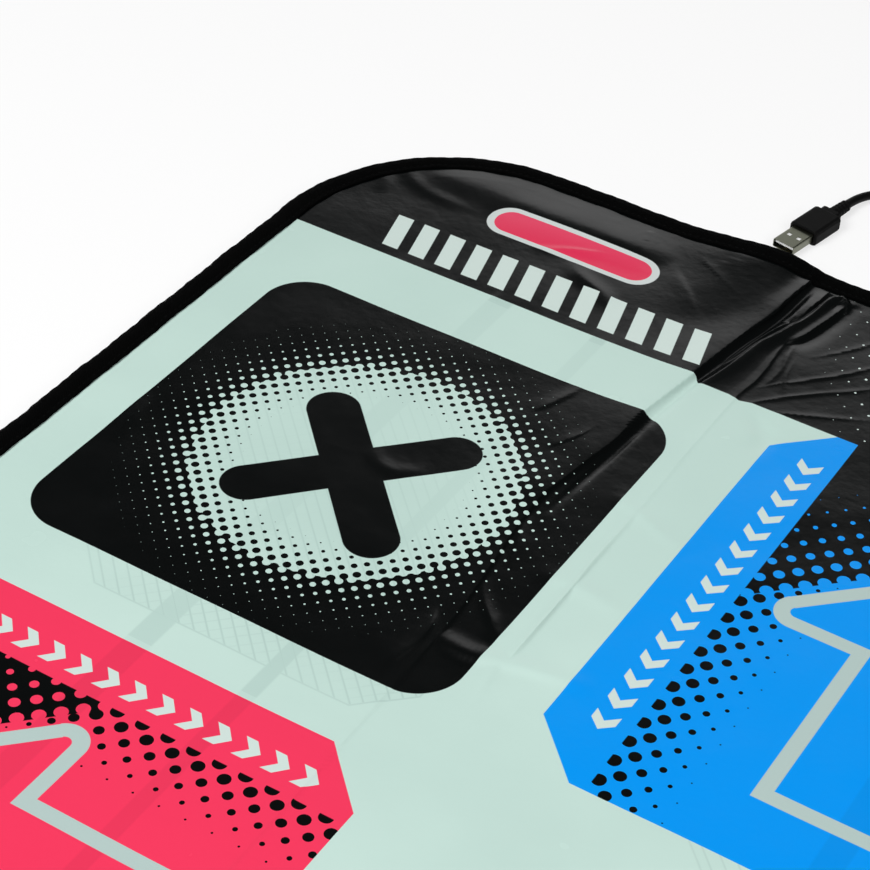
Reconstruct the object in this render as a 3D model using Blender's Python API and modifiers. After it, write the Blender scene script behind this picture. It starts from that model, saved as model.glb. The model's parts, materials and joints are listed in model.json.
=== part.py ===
# Soft dance mat controller with a USB cord: ten press zones under one printed cover.
#
# Units are metres and +Z is up. The origin is the centre of the mat's underside, on the floor.
# +X runs to the right and +Y to the top edge, where the SELECT and START zones and the control box are.
# From the floor up the mat is a bottom cover, a base foam, a contact film, a spacer foam with a window
# at each zone, a circuit film and the printed cover, with a woven binding folded round the rim.
# A zone is a patch of cover with its comb film, which goes down through the spacer's window.

import math

import bmesh
import bpy
from mathutils import Vector

# The mat's plan: a grid of three by three panels
PITCH = 0.2715
EDGE_MARGIN = 0.1385
TOP_MARGIN = 0.2485
MAT_CORNER_RADIUS = 0.098
CLEARANCE = 0.0003

MAT_WIDTH = 2 * PITCH + 2 * EDGE_MARGIN
MAT_LENGTH = 2 * PITCH + EDGE_MARGIN + TOP_MARGIN
RIGHT_EDGE = MAT_WIDTH / 2
TOP_EDGE = MAT_LENGTH / 2
LOW_ROW = -TOP_EDGE + EDGE_MARGIN
MIDDLE_ROW = LOW_ROW + PITCH
TOP_ROW = MIDDLE_ROW + PITCH

# The layers' thicknesses, from the floor up
BOTTOM_COVER_THICKNESS = 0.0015
BASE_FOAM_THICKNESS = 0.0020
FILM_THICKNESS = 0.0003
PAD_THICKNESS = 0.0002
SPACER_FOAM_THICKNESS = 0.0022
TOP_COVER_THICKNESS = 0.0007

BASE_FOAM_Z = BOTTOM_COVER_THICKNESS + CLEARANCE
LOWER_FILM_Z = BASE_FOAM_Z + BASE_FOAM_THICKNESS + CLEARANCE
SPACER_FOAM_Z = LOWER_FILM_Z + FILM_THICKNESS + CLEARANCE
UPPER_FILM_Z = SPACER_FOAM_Z + SPACER_FOAM_THICKNESS + CLEARANCE
TOP_COVER_Z = UPPER_FILM_Z + FILM_THICKNESS + CLEARANCE
MAT_TOP_Z = TOP_COVER_Z + TOP_COVER_THICKNESS

# The binding: a tape folded round the rim
BINDING_WIDTH = 0.012
BINDING_THICKNESS = 0.0006
BINDING_TOP_Z = MAT_TOP_Z + CLEARANCE + BINDING_THICKNESS
RIM_INSET = BINDING_THICKNESS + CLEARANCE

# The press zones
CORNER_PANEL_SIDE = 0.206
CORNER_PANEL_RADIUS = 0.022
ARROW_WIDTH = 0.266
ARROW_INNER_REACH = 0.107
ARROW_TOP_REACH = 0.1405
ARROW_CHAMFER = 0.0255
ARROW_CORNER_RADIUS = 0.004
ZONE_RIM_GAP = 0.010
PILL_LENGTH = 0.0918
PILL_WIDTH = 0.0256
PILL_END_FLAT = 0.00001
PILL_BEYOND_COLUMN = 0.006
PILL_BELOW_EDGE = 0.050
ZONE_CLEARANCE = 0.0004
PAD_INSET = 0.006

ARROW_INNER_EDGE = PITCH - ARROW_INNER_REACH
ARROW_TOP_EDGE = PITCH + ARROW_TOP_REACH
PILL_X = PITCH + PILL_BEYOND_COLUMN

# The control box, whose jaws grip the layers in a notch at the middle of the top edge
BOX_WIDTH = 0.104
BOX_DEPTH = 0.0515
BOX_HEIGHT = 0.017
BOX_BEHIND_EDGE = 0.0265
BOX_WALL = 0.002
BOX_CORNER_RADIUS = 0.005
BOX_BEVEL = 0.0010
JAW_DEPTH = 0.008
JAW_THICKNESS = 0.002
JAW_ROOT = 0.001
JAW_CORNER_RADIUS = 0.003

BOX_BACK_Y = TOP_EDGE + BOX_BEHIND_EDGE
BOX_FRONT_Y = BOX_BACK_Y - BOX_DEPTH
NOTCH_Y = BOX_FRONT_Y - CLEARANCE
NOTCH_HALF = BOX_WIDTH / 2 + CLEARANCE
JAW_FRONT_Y = BOX_FRONT_Y - JAW_DEPTH
PARTING_LOW_Z = UPPER_FILM_Z - CLEARANCE
PARTING_HIGH_Z = UPPER_FILM_Z

# The film's tail, the board and the clamp inside the box
TAIL_WIDTH = 0.056
TAIL_LENGTH = 0.015
BOARD_THICKNESS = 0.0016
BOARD_SIDE_ROOM = 0.011
BOARD_DEPTH = 0.0335
BOARD_FRONT_GAP = 0.0045
BOARD_CORNER_RADIUS = 0.0015
STRIP_OVERLAP = 0.001
STRIP_DEPTH = 0.005
STRIP_THICKNESS = 0.0015
STRIP_CORNER_RADIUS = 0.0008
CLAMP_END_MARGIN = 0.001
CLAMP_DEPTH = 0.007
CLAMP_THICKNESS = 0.003
CLAMP_CORNER_RADIUS = 0.0015
CLAMP_FROM_BOARD_FRONT = 0.0055
CLAMP_FOOT_FROM_STRIP = 0.003
CLAMP_FOOT_SETBACK = 0.0003
CLAMP_SCREW_FROM_END = 0.004
BOARD_POST_RADIUS = 0.003
BOARD_PIN_RADIUS = 0.0012
BOARD_PIN_BACK = 0.024

BOARD_WIDTH = BOX_WIDTH - 2 * BOARD_SIDE_ROOM
STRIP_WIDTH = TAIL_WIDTH + 2 * STRIP_OVERLAP
CLAMP_WIDTH = BOARD_WIDTH - 2 * CLAMP_END_MARGIN
CLAMP_SCREW_SPACING = CLAMP_WIDTH - 2 * CLAMP_SCREW_FROM_END
BOARD_TOP_Z = UPPER_FILM_Z - CLEARANCE
BOARD_Z = BOARD_TOP_Z - BOARD_THICKNESS
BOARD_FRONT_Y = BOX_FRONT_Y + BOARD_FRONT_GAP
BOARD_BACK_Y = BOARD_FRONT_Y + BOARD_DEPTH
TAIL_END_Y = BOX_FRONT_Y + TAIL_LENGTH
CLAMP_Y = BOARD_FRONT_Y + CLAMP_FROM_BOARD_FRONT
STRIP_Z = UPPER_FILM_Z + FILM_THICKNESS + CLEARANCE
CLAMP_Z = STRIP_Z + STRIP_THICKNESS + CLEARANCE
CLAMP_TOP_Z = CLAMP_Z + CLAMP_THICKNESS
PART_ON_BOARD_Z = BOARD_TOP_Z + CLEARANCE

# The parts on the board
PARTS_FROM_BOARD_BACK = 0.0115
CHIP_X = -0.013
CHIP_SIDE = 0.012
CHIP_THICKNESS = 0.0016
CHIP_CORNER_RADIUS = 0.0008
CRYSTAL_X = 0.0135
CRYSTAL_LENGTH = 0.011
CRYSTAL_WIDTH = 0.0046
CRYSTAL_HEIGHT = 0.0035
CRYSTAL_CORNER_RADIUS = 0.0022
CAPACITOR_FROM_BOARD_END = 0.0125
CAPACITOR_RADIUS = 0.0025
CAPACITOR_HEIGHT = 0.0065
CAPACITOR_X = BOARD_WIDTH / 2 - CAPACITOR_FROM_BOARD_END

# Screws
SCREW_SHANK_RADIUS = 0.0012
SCREW_HEAD_RADIUS = 0.0022
SCREW_HEAD_HEIGHT = 0.0016
SCREW_HEAD_FLAT_SHARE = 0.7
SCREW_HEAD_EDGE_SHARE = 0.55
SCREW_TIP_SHARE = 0.15
SCREW_HOLE_RADIUS = SCREW_SHANK_RADIUS + CLEARANCE
CASE_SCREW_LENGTH = 0.0100
CASE_SCREW_SIDE_INSET = 0.006
CASE_SCREW_INSET = 0.0065
CASE_BOSS_RADIUS = 0.0036
CASE_POST_SETBACK = 0.0002
CASE_SCREW_RECESS = 0.0025
CLAMP_SCREW_TIP_Z = 0.0032

# The cord and its way out of the box
CORD_RADIUS = 0.00225
CORD_EXIT_Z = 0.0086
GROMMET_NECK_RADIUS = 0.0037
GROMMET_FLANGE_RADIUS = 0.0052
GROMMET_FLANGE_THICKNESS = 0.0015
GROMMET_ROOT_RADIUS = 0.0043
GROMMET_TIP_RADIUS = 0.0032
GROMMET_RELIEF_LENGTH = 0.0140
CORD_STUB_INSIDE = 0.0125
CONDUCTORS = 4
CONDUCTOR_RADIUS = 0.00045
CONDUCTOR_PITCH = 0.0011
CONDUCTOR_SPREAD = 0.0030
CONDUCTOR_SPACING = 0.0012
# Each conductor's way from the stub to the board: how far along, and the shares of its spread and its drop
CONDUCTOR_ROUTE = [
    (CLEARANCE, 0.0, 0.0),
    (0.0012, 0.0, 0.0),
    (0.0036, 0.55, 0.8),
    (0.0055, 1.0, 1.0),
    (0.0085, 1.0, 1.0),
]

GROMMET_END_Y = BOX_BACK_Y + CLEARANCE + GROMMET_FLANGE_THICKNESS + GROMMET_RELIEF_LENGTH
STUB_INNER_Y = BOX_BACK_Y - CORD_STUB_INSIDE

# The stored coil: a spiral in on the floor, a climb in the half turn where it reverses, a spiral out above
COIL_CENTRE = (-0.095, 0.532)
COIL_MIDDLE_RADIUS = 0.027
COIL_HALF_TURNS_EACH_WAY = 9
COIL_STEP = 0.0050
COIL_POINTS_PER_TURN = 24
COIL_START_DEG = 90.0
COIL_REVERSE_SOFTNESS = 0.02
COIL_CLIMB_TURNS = 0.5
COIL_TURNS_AT_TIE = 0.25
TIE_THICKNESS = 0.0008
TIE_WIDTH = 0.008
TIE_INNER_SLACK = 0.0008
TIE_OUTER_SLACK = 0.0002
TIE_CORNER_RADIUS = 0.0015

COIL_TURNS_EACH_WAY = COIL_HALF_TURNS_EACH_WAY / 2
COIL_INNER_RADIUS = COIL_MIDDLE_RADIUS - COIL_STEP * COIL_TURNS_EACH_WAY / 2
COIL_OUTER_RADIUS = COIL_MIDDLE_RADIUS + COIL_STEP * COIL_TURNS_EACH_WAY / 2
COIL_LOW_Z = TIE_THICKNESS + CLEARANCE + CORD_RADIUS
COIL_HIGH_Z = COIL_LOW_Z + COIL_STEP

# The plug, lying flat behind the top edge; its local +Y runs from the tip to the cord
PLUG_TIP = (-0.1966, 0.4803)
PLUG_TURN_DEG = -11.0
PLUG_BODY_WIDTH = 0.0160
PLUG_BODY_HEIGHT = 0.0080
PLUG_BODY_LENGTH = 0.0205
PLUG_BODY_CORNER_RADIUS = 0.0018
PLUG_BODY_BEVEL = 0.0010
PLUG_NECK_LENGTH = 0.0035
PLUG_NECK_OVERLAP = 0.0015
PLUG_NECK_WIDTH_SHARE = 0.68
PLUG_NECK_HEIGHT_SHARE = 0.88
PLUG_NECK_CORNER_RADIUS = 0.0015
PLUG_RELIEF_LENGTH = 0.0120
PLUG_RELIEF_RADIUS = 0.0035
PLUG_RELIEF_TIP_RADIUS = 0.0031
PLUG_RIBS = 4
PLUG_RIB_DEPTH = 0.0004
PLUG_RIB_LAND_SHARE = 0.8
SHELL_WIDTH = 0.0120
SHELL_HEIGHT = 0.0045
SHELL_WALL = 0.0003
SHELL_CORNER_RADIUS = 0.0006
SHELL_SHOWN = 0.0162
SHELL_SUNK = 0.0030
SHELL_WINDOW = 0.0024
SHELL_WINDOW_SPACING = 0.0056
SHELL_WINDOW_FROM_TIP = 0.0085
TONGUE_THICKNESS = 0.0018
TONGUE_FROM_TIP = 0.0012
CONTACTS = 4
CONTACT_SETBACK = 0.0010
CONTACT_WIDTH = 0.0010
CONTACT_PITCH = 0.0022
CONTACT_LENGTH = 0.0085
CONTACT_THICKNESS = 0.0002

# The cord's route, chosen by hand: from the grommet to the coil, and from the coil to the plug
LEAD_ROUTE = [
    (0.0000, 0.5160, 0.0086),
    (-0.0003, 0.5235, 0.0079),
    (-0.0015, 0.5310, 0.0064),
    (-0.0043, 0.5383, 0.0048),
    (-0.0090, 0.5450, 0.0036),
    (-0.0152, 0.5508, 0.0029),
    (-0.0227, 0.5557, 0.0026),
    (-0.0312, 0.5598, 0.0025),
    (-0.0402, 0.5633, 0.0026),
    (-0.0495, 0.5662, 0.0028),
    (-0.0590, 0.5683, 0.0031),
    (-0.0690, 0.5697, 0.0033),
    (-0.0790, 0.5703, 0.00335),
]
TAIL_ROUTE = [
    (-0.1075, 0.5705, 0.0083),
    (-0.1165, 0.5710, 0.0077),
    (-0.1260, 0.5713, 0.0063),
    (-0.1355, 0.5711, 0.0047),
    (-0.1450, 0.5702, 0.0034),
    (-0.1540, 0.5682, 0.0026),
    (-0.1624, 0.5650, 0.0024),
    (-0.1698, 0.5605, 0.0025),
    (-0.1758, 0.5550, 0.0029),
    (-0.1805, 0.5490, 0.0034),
    (-0.1838, 0.5425, 0.0038),
]

# An arc's chords stay this close to it
ARC_SAG = 0.00025
COARSEST_CHORD_COSINE = 0.7
STRAIGHT_ON = 0.001
ROUND_SIDES = 14
FINE_SIDES = 24
CORD_SIDES = 8
COIL_SIDES = 6
ROUTE_FINENESS = 20
ROUTE_SPACING = 4 * CORD_RADIUS
STRAIGHT_END = 2 * CORD_RADIUS
TOUCHING = 0.000001
AXIS_WELD = 0.00001
CUTTER_REACH = 0.002


def clear_scene():
    for old in list(bpy.data.objects):
        bpy.data.objects.remove(old)


def new_collection(name):
    collection = bpy.data.collections.new(name)
    bpy.context.scene.collection.children.link(collection)
    return collection


def new_material(name, colour, roughness, metallic=0.0):
    material = bpy.data.materials.new(name)
    material.use_nodes = True
    shader = material.node_tree.nodes["Principled BSDF"]
    shader.inputs["Base Color"].default_value = (*colour, 1.0)
    shader.inputs["Roughness"].default_value = roughness
    shader.inputs["Metallic"].default_value = metallic
    material.diffuse_color = (*colour, 1.0)
    return material


clear_scene()
PARTS = new_collection("dance_mat_controller")
CUTTERS = new_collection("cutters")


def finish_part(part, material):
    # A moving or copied part keeps its own material, so that each node is coloured by itself
    own = material.copy()
    own.name = part.name
    part.data.materials.clear()
    part.data.materials.append(own)
    PARTS.objects.link(part)
    return part


def finish_cutter(cutter):
    CUTTERS.objects.link(cutter)
    cutter.hide_render = True
    cutter.display_type = "WIRE"
    return cutter


def boolean(part, tool, operation):
    modifier = part.modifiers.new(tool.name, "BOOLEAN")
    modifier.operation = operation
    modifier.solver = "EXACT"
    modifier.object = tool


def as_mesh(source):
    # A curve becomes a welded mesh in the same place, so that it can be cut or joined
    graph = bpy.context.evaluated_depsgraph_get()
    bpy.context.scene.collection.objects.link(source)
    graph.update()
    mesh = bpy.data.meshes.new_from_object(source.evaluated_get(graph))
    bm = bmesh.new()
    bm.from_mesh(mesh)
    bmesh.ops.remove_doubles(bm, verts=bm.verts, dist=TOUCHING)
    bmesh.ops.recalc_face_normals(bm, faces=bm.faces)
    bm.to_mesh(mesh)
    bm.free()
    part = bpy.data.objects.new(source.name, mesh)
    part.matrix_world = source.matrix_world.copy()
    name = source.name
    bpy.data.objects.remove(source)
    part.name = name
    return part


def shade_round(part, angle_deg=35.0):
    part.data.shade_smooth()
    part.data.set_sharp_from_angle(angle=math.radians(angle_deg))


# Outlines: a list of corners (x, y, radius), counter-clockwise

def rectangle(x_low, x_high, y_low, y_high, radius=0.0):
    return [
        (x_low, y_low, radius),
        (x_high, y_low, radius),
        (x_high, y_high, radius),
        (x_low, y_high, radius),
    ]


def chamfered_rectangle(x_low, x_high, y_low, y_high, chamfer, radius):
    return [
        (x_low + chamfer, y_low, radius),
        (x_high - chamfer, y_low, radius),
        (x_high, y_low + chamfer, radius),
        (x_high, y_high - chamfer, radius),
        (x_high - chamfer, y_high, radius),
        (x_low + chamfer, y_high, radius),
        (x_low, y_high - chamfer, radius),
        (x_low, y_low + chamfer, radius),
    ]


def corner_directions(corners, index):
    here = Vector(corners[index][:2])
    before = Vector(corners[index - 1][:2])
    after = Vector(corners[(index + 1) % len(corners)][:2])
    return here, (here - before).normalized(), (after - here).normalized()


def grown(corners, distance):
    # Every edge moves outward by the distance; round corners stay concentric
    result = []
    for index, corner in enumerate(corners):
        here, arriving, leaving = corner_directions(corners, index)
        normal_1 = Vector((arriving.y, -arriving.x))
        normal_2 = Vector((leaving.y, -leaving.x))
        moved = here + (normal_1 + normal_2) * (distance / (1.0 + normal_1.dot(normal_2)))
        convex = arriving.cross(leaving) > 0
        radius = corner[2]
        if radius > 0:
            radius = max(radius + (distance if convex else -distance), 0.0)
        result.append((moved.x, moved.y, radius))
    return result


def arc_corner(corners, index):
    here, arriving, leaving = corner_directions(corners, index)
    radius = corners[index][2]
    turn = math.atan2(arriving.cross(leaving), arriving.dot(leaving))
    if radius <= 0 or abs(turn) < STRAIGHT_ON:
        return [here]
    cut = radius * math.tan(abs(turn) / 2)
    start = here - arriving * cut
    side = math.copysign(1.0, turn)
    centre = start + Vector((-arriving.y, arriving.x)) * (radius * side)
    chord_turn = 2 * math.acos(max(1 - ARC_SAG / radius, COARSEST_CHORD_COSINE))
    count = max(2, math.ceil(abs(turn) / chord_turn))
    first = start - centre
    points = []
    for step in range(count + 1):
        angle = turn * step / count
        spun = Vector((
            first.x * math.cos(angle) - first.y * math.sin(angle),
            first.x * math.sin(angle) + first.y * math.cos(angle),
        ))
        points.append(centre + spun)
    return points


def outline_points(corners):
    points = []
    for index in range(len(corners)):
        points.extend(arc_corner(corners, index))
    return points


# Solids

def flat_curve(name, outlines, z_low, z_high):
    curve = bpy.data.curves.new(name, "CURVE")
    curve.dimensions = "2D"
    curve.fill_mode = "BOTH"
    curve.extrude = (z_high - z_low) / 2
    for corners in outlines:
        points = outline_points(corners)
        spline = curve.splines.new("POLY")
        spline.points.add(len(points) - 1)
        for target, point in zip(spline.points, points):
            target.co = (point.x, point.y, 0.0, 1.0)
        spline.use_cyclic_u = True
    plate = bpy.data.objects.new(name, curve)
    plate.location.z = (z_high + z_low) / 2
    return plate


def plate(name, outlines, z_low, z_high):
    return as_mesh(flat_curve(name, outlines, z_low, z_high))


def block(name, x_low, x_high, y_low, y_high, z_low, z_high):
    mesh = bpy.data.meshes.new(name)
    bm = bmesh.new()
    bmesh.ops.create_cube(bm, size=1.0)
    size = (x_high - x_low, y_high - y_low, z_high - z_low)
    bmesh.ops.scale(bm, vec=size, verts=bm.verts)
    bm.to_mesh(mesh)
    bm.free()
    part = bpy.data.objects.new(name, mesh)
    part.location = ((x_low + x_high) / 2, (y_low + y_high) / 2, (z_low + z_high) / 2)
    return part


def rod(name, radius, x, y, z_low, z_high, sides=ROUND_SIDES):
    mesh = bpy.data.meshes.new(name)
    bm = bmesh.new()
    bmesh.ops.create_cone(
        bm, cap_ends=True, segments=sides, radius1=radius, radius2=radius, depth=z_high - z_low
    )
    bm.to_mesh(mesh)
    bm.free()
    part = bpy.data.objects.new(name, mesh)
    part.location = (x, y, (z_low + z_high) / 2)
    shade_round(part)
    return part


def turned(name, profile, steps=FINE_SIDES):
    # The profile is a closed or axis-to-axis run of (radius, height), down its outer side
    mesh = bpy.data.meshes.new(name)
    count = len(profile)
    edges = [(index, index + 1) for index in range(count - 1)]
    if profile[0][0] > 0:
        edges.append((count - 1, 0))
    mesh.from_pydata([(radius, 0.0, height) for radius, height in profile], edges, [])
    part = bpy.data.objects.new(name, mesh)
    screw = part.modifiers.new("turn", "SCREW")
    screw.axis = "Z"
    screw.steps = steps
    screw.render_steps = steps
    screw.use_merge_vertices = True
    screw.merge_threshold = AXIS_WELD
    screw.use_smooth_shade = True
    return part


def bevelled(part, width, segments=2):
    bevel = part.modifiers.new("edges", "BEVEL")
    bevel.width = width
    bevel.segments = segments
    bevel.limit_method = "ANGLE"
    bevel.angle_limit = math.radians(50)
    return part


def tube(name, points, radius, sides):
    curve = bpy.data.curves.new(name, "CURVE")
    curve.dimensions = "3D"
    curve.bevel_depth = radius
    curve.bevel_resolution = sides // 2 - 2
    curve.use_fill_caps = True
    spline = curve.splines.new("POLY")
    spline.points.add(len(points) - 1)
    for target, point in zip(spline.points, points):
        target.co = (*point, 1.0)
    return bpy.data.objects.new(name, curve)


def smooth_route(points, spacing):
    # A Catmull-Rom curve through the route's own points, read again at an even spacing
    line = [Vector(point) for point in points]
    line = [2 * line[0] - line[1]] + line + [2 * line[-1] - line[-2]]
    fine = []
    for index in range(1, len(line) - 2):
        p0, p1, p2, p3 = line[index - 1:index + 3]
        for step in range(ROUTE_FINENESS):
            t = step / ROUTE_FINENESS
            fine.append(0.5 * (
                2 * p1 + (p2 - p0) * t + (2 * p0 - 5 * p1 + 4 * p2 - p3) * t * t
                + (3 * p1 - p0 - 3 * p2 + p3) * t * t * t
            ))
    fine.append(line[-2])
    total = sum((b - a).length for a, b in zip(fine, fine[1:]))
    count = max(2, round(total / spacing))
    result = [fine[0]]
    walked = 0.0
    for a, b in zip(fine, fine[1:]):
        walked += (b - a).length
        if walked >= len(result) * total / count and len(result) < count:
            result.append(b)
    result.append(fine[-1])
    return result


def path_length(points):
    return sum((Vector(b) - Vector(a)).length for a, b in zip(points, points[1:]))


# Materials

MINT_COVER = new_material("mint_cover", (0.52, 0.73, 0.66), 0.45)
BLACK_PRINT = new_material("black_print", (0.012, 0.012, 0.013), 0.40)
BLUE_PRINT = new_material("blue_print", (0.0, 0.28, 0.85), 0.45)
PINK_PRINT = new_material("pink_print", (0.90, 0.05, 0.13), 0.45)
GREY_FABRIC = new_material("grey_fabric", (0.03, 0.03, 0.03), 0.85)
WHITE_FOAM = new_material("white_foam", (0.75, 0.75, 0.72), 0.9)
CLEAR_FILM = new_material("circuit_film", (0.45, 0.5, 0.48), 0.35)
BLACK_TAPE = new_material("black_tape", (0.006, 0.006, 0.007), 0.8)
BLACK_PLASTIC = new_material("black_plastic", (0.012, 0.012, 0.012), 0.45)
BLACK_RUBBER = new_material("black_rubber", (0.01, 0.01, 0.01), 0.7)
BOARD_GREEN = new_material("board_green", (0.02, 0.16, 0.06), 0.4)
STEEL = new_material("steel", (0.6, 0.6, 0.58), 0.3, 1.0)
PLATED_SHELL = new_material("plated_shell", (0.42, 0.43, 0.36), 0.3, 1.0)
COPPER = new_material("contact_gold", (0.8, 0.6, 0.25), 0.25, 1.0)
WHITE_PLASTIC = new_material("white_plastic", (0.8, 0.8, 0.8), 0.4)


# The press zones' outlines

def corner_zone(x, y):
    half = CORNER_PANEL_SIDE / 2
    return rectangle(x - half, x + half, y - half, y + half, CORNER_PANEL_RADIUS)


def arrow_zone(x_low, x_high, y_low, y_high):
    return chamfered_rectangle(x_low, x_high, y_low, y_high, ARROW_CHAMFER, ARROW_CORNER_RADIUS)


def pill_zone(x):
    y = TOP_EDGE - PILL_BELOW_EDGE
    half_length = PILL_LENGTH / 2
    half_width = PILL_WIDTH / 2
    radius = half_width - PILL_END_FLAT
    return rectangle(x - half_length, x + half_length, y - half_width, y + half_width, radius)


def zone_table():
    half = ARROW_WIDTH / 2
    side_limit = RIGHT_EDGE - BINDING_WIDTH - ZONE_RIM_GAP
    low_limit = -TOP_EDGE + BINDING_WIDTH + ZONE_RIM_GAP
    inner = ARROW_INNER_EDGE
    middle = MIDDLE_ROW
    return {
        "cross": (corner_zone(-PITCH, TOP_ROW), BLACK_PRINT),
        "ring": (corner_zone(PITCH, TOP_ROW), BLACK_PRINT),
        "plus": (corner_zone(-PITCH, LOW_ROW), BLACK_PRINT),
        "diamond": (corner_zone(PITCH, LOW_ROW), BLACK_PRINT),
        "up": (arrow_zone(-half, half, middle + inner, middle + ARROW_TOP_EDGE), BLUE_PRINT),
        "down": (arrow_zone(-half, half, low_limit, middle - inner), BLUE_PRINT),
        "left": (arrow_zone(-side_limit, -inner, middle - half, middle + half), PINK_PRINT),
        "right": (arrow_zone(inner, side_limit, middle - half, middle + half), PINK_PRINT),
        "select": (pill_zone(-PILL_X), PINK_PRINT),
        "start": (pill_zone(PILL_X), PINK_PRINT),
    }


ZONES = zone_table()


def zone_windows():
    return [grown(outline, ZONE_CLEARANCE) for outline, _ in ZONES.values()]


# The mat's layers

def mat_outline(inset, notch_y=None, tail=False):
    # The rim, with a notch for the control box and, on the circuit film, a tail in the notch
    right = RIGHT_EDGE - inset
    top = TOP_EDGE - inset
    radius = MAT_CORNER_RADIUS - inset
    corners = [(-right, -top, radius), (right, -top, radius), (right, top, radius)]
    if notch_y is not None:
        corners.append((NOTCH_HALF, top, 0.0))
        corners.append((NOTCH_HALF, notch_y, 0.0))
        if tail:
            corners.append((TAIL_WIDTH / 2, notch_y, 0.0))
            corners.append((TAIL_WIDTH / 2, TAIL_END_Y, 0.0))
            corners.append((-TAIL_WIDTH / 2, TAIL_END_Y, 0.0))
            corners.append((-TAIL_WIDTH / 2, notch_y, 0.0))
        corners.append((-NOTCH_HALF, notch_y, 0.0))
        corners.append((-NOTCH_HALF, top, 0.0))
    corners.append((-right, top, radius))
    return corners


def make_bottom_cover():
    # Its rim steps up over the binding's lower lip, so that both lie on the floor
    notch = JAW_FRONT_Y - CLEARANCE
    cover = plate("bottom_cover", [mat_outline(RIM_INSET, notch)], 0.0, BOTTOM_COVER_THICKNESS)
    lip_inset = BINDING_WIDTH + CLEARANCE
    lip_top = BINDING_THICKNESS + CLEARANCE
    outer = mat_outline(-CUTTER_REACH)
    inner = mat_outline(lip_inset)
    cutter = plate("bottom_cover_rebate", [outer, inner], -CUTTER_REACH, lip_top)
    boolean(cover, finish_cutter(cutter), "DIFFERENCE")
    finish_part(cover, GREY_FABRIC)


def make_lower_membrane():
    film_top = LOWER_FILM_Z + FILM_THICKNESS
    film = plate("lower_membrane", [mat_outline(RIM_INSET, NOTCH_Y)], LOWER_FILM_Z, film_top)
    for name, (outline, _) in ZONES.items():
        pad_outline = grown(outline, -PAD_INSET)
        low = LOWER_FILM_Z + FILM_THICKNESS / 2
        pad = plate(f"contact_pad_{name}", [pad_outline], low, film_top + PAD_THICKNESS)
        boolean(film, finish_cutter(pad), "UNION")
    finish_part(film, CLEAR_FILM)


def make_layers():
    make_bottom_cover()
    rim = mat_outline(RIM_INSET, NOTCH_Y)
    foam_top = BASE_FOAM_Z + BASE_FOAM_THICKNESS
    finish_part(plate("base_foam", [rim], BASE_FOAM_Z, foam_top), WHITE_FOAM)
    make_lower_membrane()
    windows = zone_windows()
    spacer_top = SPACER_FOAM_Z + SPACER_FOAM_THICKNESS
    finish_part(plate("spacer_foam", [rim] + windows, SPACER_FOAM_Z, spacer_top), WHITE_FOAM)
    tailed = mat_outline(RIM_INSET, NOTCH_Y, tail=True)
    film_top = UPPER_FILM_Z + FILM_THICKNESS
    finish_part(plate("upper_membrane", [tailed] + windows, UPPER_FILM_Z, film_top), CLEAR_FILM)
    finish_part(plate("top_cover", [rim] + windows, TOP_COVER_Z, MAT_TOP_Z), MINT_COVER)


def make_zones():
    for name, (outline, print_material) in ZONES.items():
        film = plate(f"comb_film_{name}", [outline], UPPER_FILM_Z, UPPER_FILM_Z + FILM_THICKNESS)
        finish_part(film, CLEAR_FILM)
        cover = plate(f"cover_{name}", [outline], TOP_COVER_Z, MAT_TOP_Z)
        finish_part(cover, print_material)


def make_binding():
    # A folded tape: its section is swept round the rim, from one side of the notch to the other
    rim = outline_points(mat_outline(0.0, NOTCH_Y))
    notch_corner = Vector((-NOTCH_HALF, TOP_EDGE))
    start = next(i for i, point in enumerate(rim) if (point - notch_corner).length < TOUCHING)
    loop = rim[start:] + rim[:start]
    path = [
        point for point in loop
        if point.y > NOTCH_Y + TOUCHING or abs(point.x) > NOTCH_HALF + TOUCHING
    ]
    section = bpy.data.curves.new("binding_section", "CURVE")
    section.dimensions = "2D"
    section.fill_mode = "NONE"
    top = BINDING_TOP_Z
    wall = BINDING_THICKNESS
    lip = BINDING_WIDTH
    profile = [
        (0.0, 0.0), (0.0, top), (lip, top), (lip, top - wall),
        (wall, top - wall), (wall, wall), (lip, wall), (lip, 0.0),
    ]
    spline = section.splines.new("POLY")
    spline.points.add(len(profile) - 1)
    for target, (across, height) in zip(spline.points, profile):
        target.co = (-across, height, 0.0, 1.0)
    spline.use_cyclic_u = True
    guide = finish_cutter(bpy.data.objects.new("binding_section", section))
    curve = bpy.data.curves.new("edge_binding", "CURVE")
    curve.dimensions = "3D"
    curve.twist_mode = "Z_UP"
    curve.bevel_mode = "OBJECT"
    curve.bevel_object = guide
    curve.use_fill_caps = True
    run = curve.splines.new("POLY")
    run.points.add(len(path) - 1)
    for target, point in zip(run.points, path):
        target.co = (point.x, point.y, 0.0, 1.0)
    finish_part(as_mesh(bpy.data.objects.new("edge_binding", curve)), BLACK_TAPE)


# The control box

def box_outline(inset=0.0):
    half = BOX_WIDTH / 2
    corners = rectangle(-half, half, BOX_FRONT_Y, BOX_BACK_Y, BOX_CORNER_RADIUS)
    return grown(corners, -inset)


def case_screw_places():
    near = BOX_FRONT_Y + CASE_SCREW_INSET
    far = BOX_BACK_Y - CASE_SCREW_INSET
    across = BOX_WIDTH / 2 - CASE_SCREW_SIDE_INSET
    return [(side * across, y) for y in (near, far) for side in (-1, 1)]


def clamp_screw_places():
    return [(side * CLAMP_SCREW_SPACING / 2, CLAMP_Y) for side in (-1, 1)]


def board_pin_places():
    y = CLAMP_Y + BOARD_PIN_BACK
    return [(side * CLAMP_SCREW_SPACING / 2, y) for side in (-1, 1)]


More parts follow.
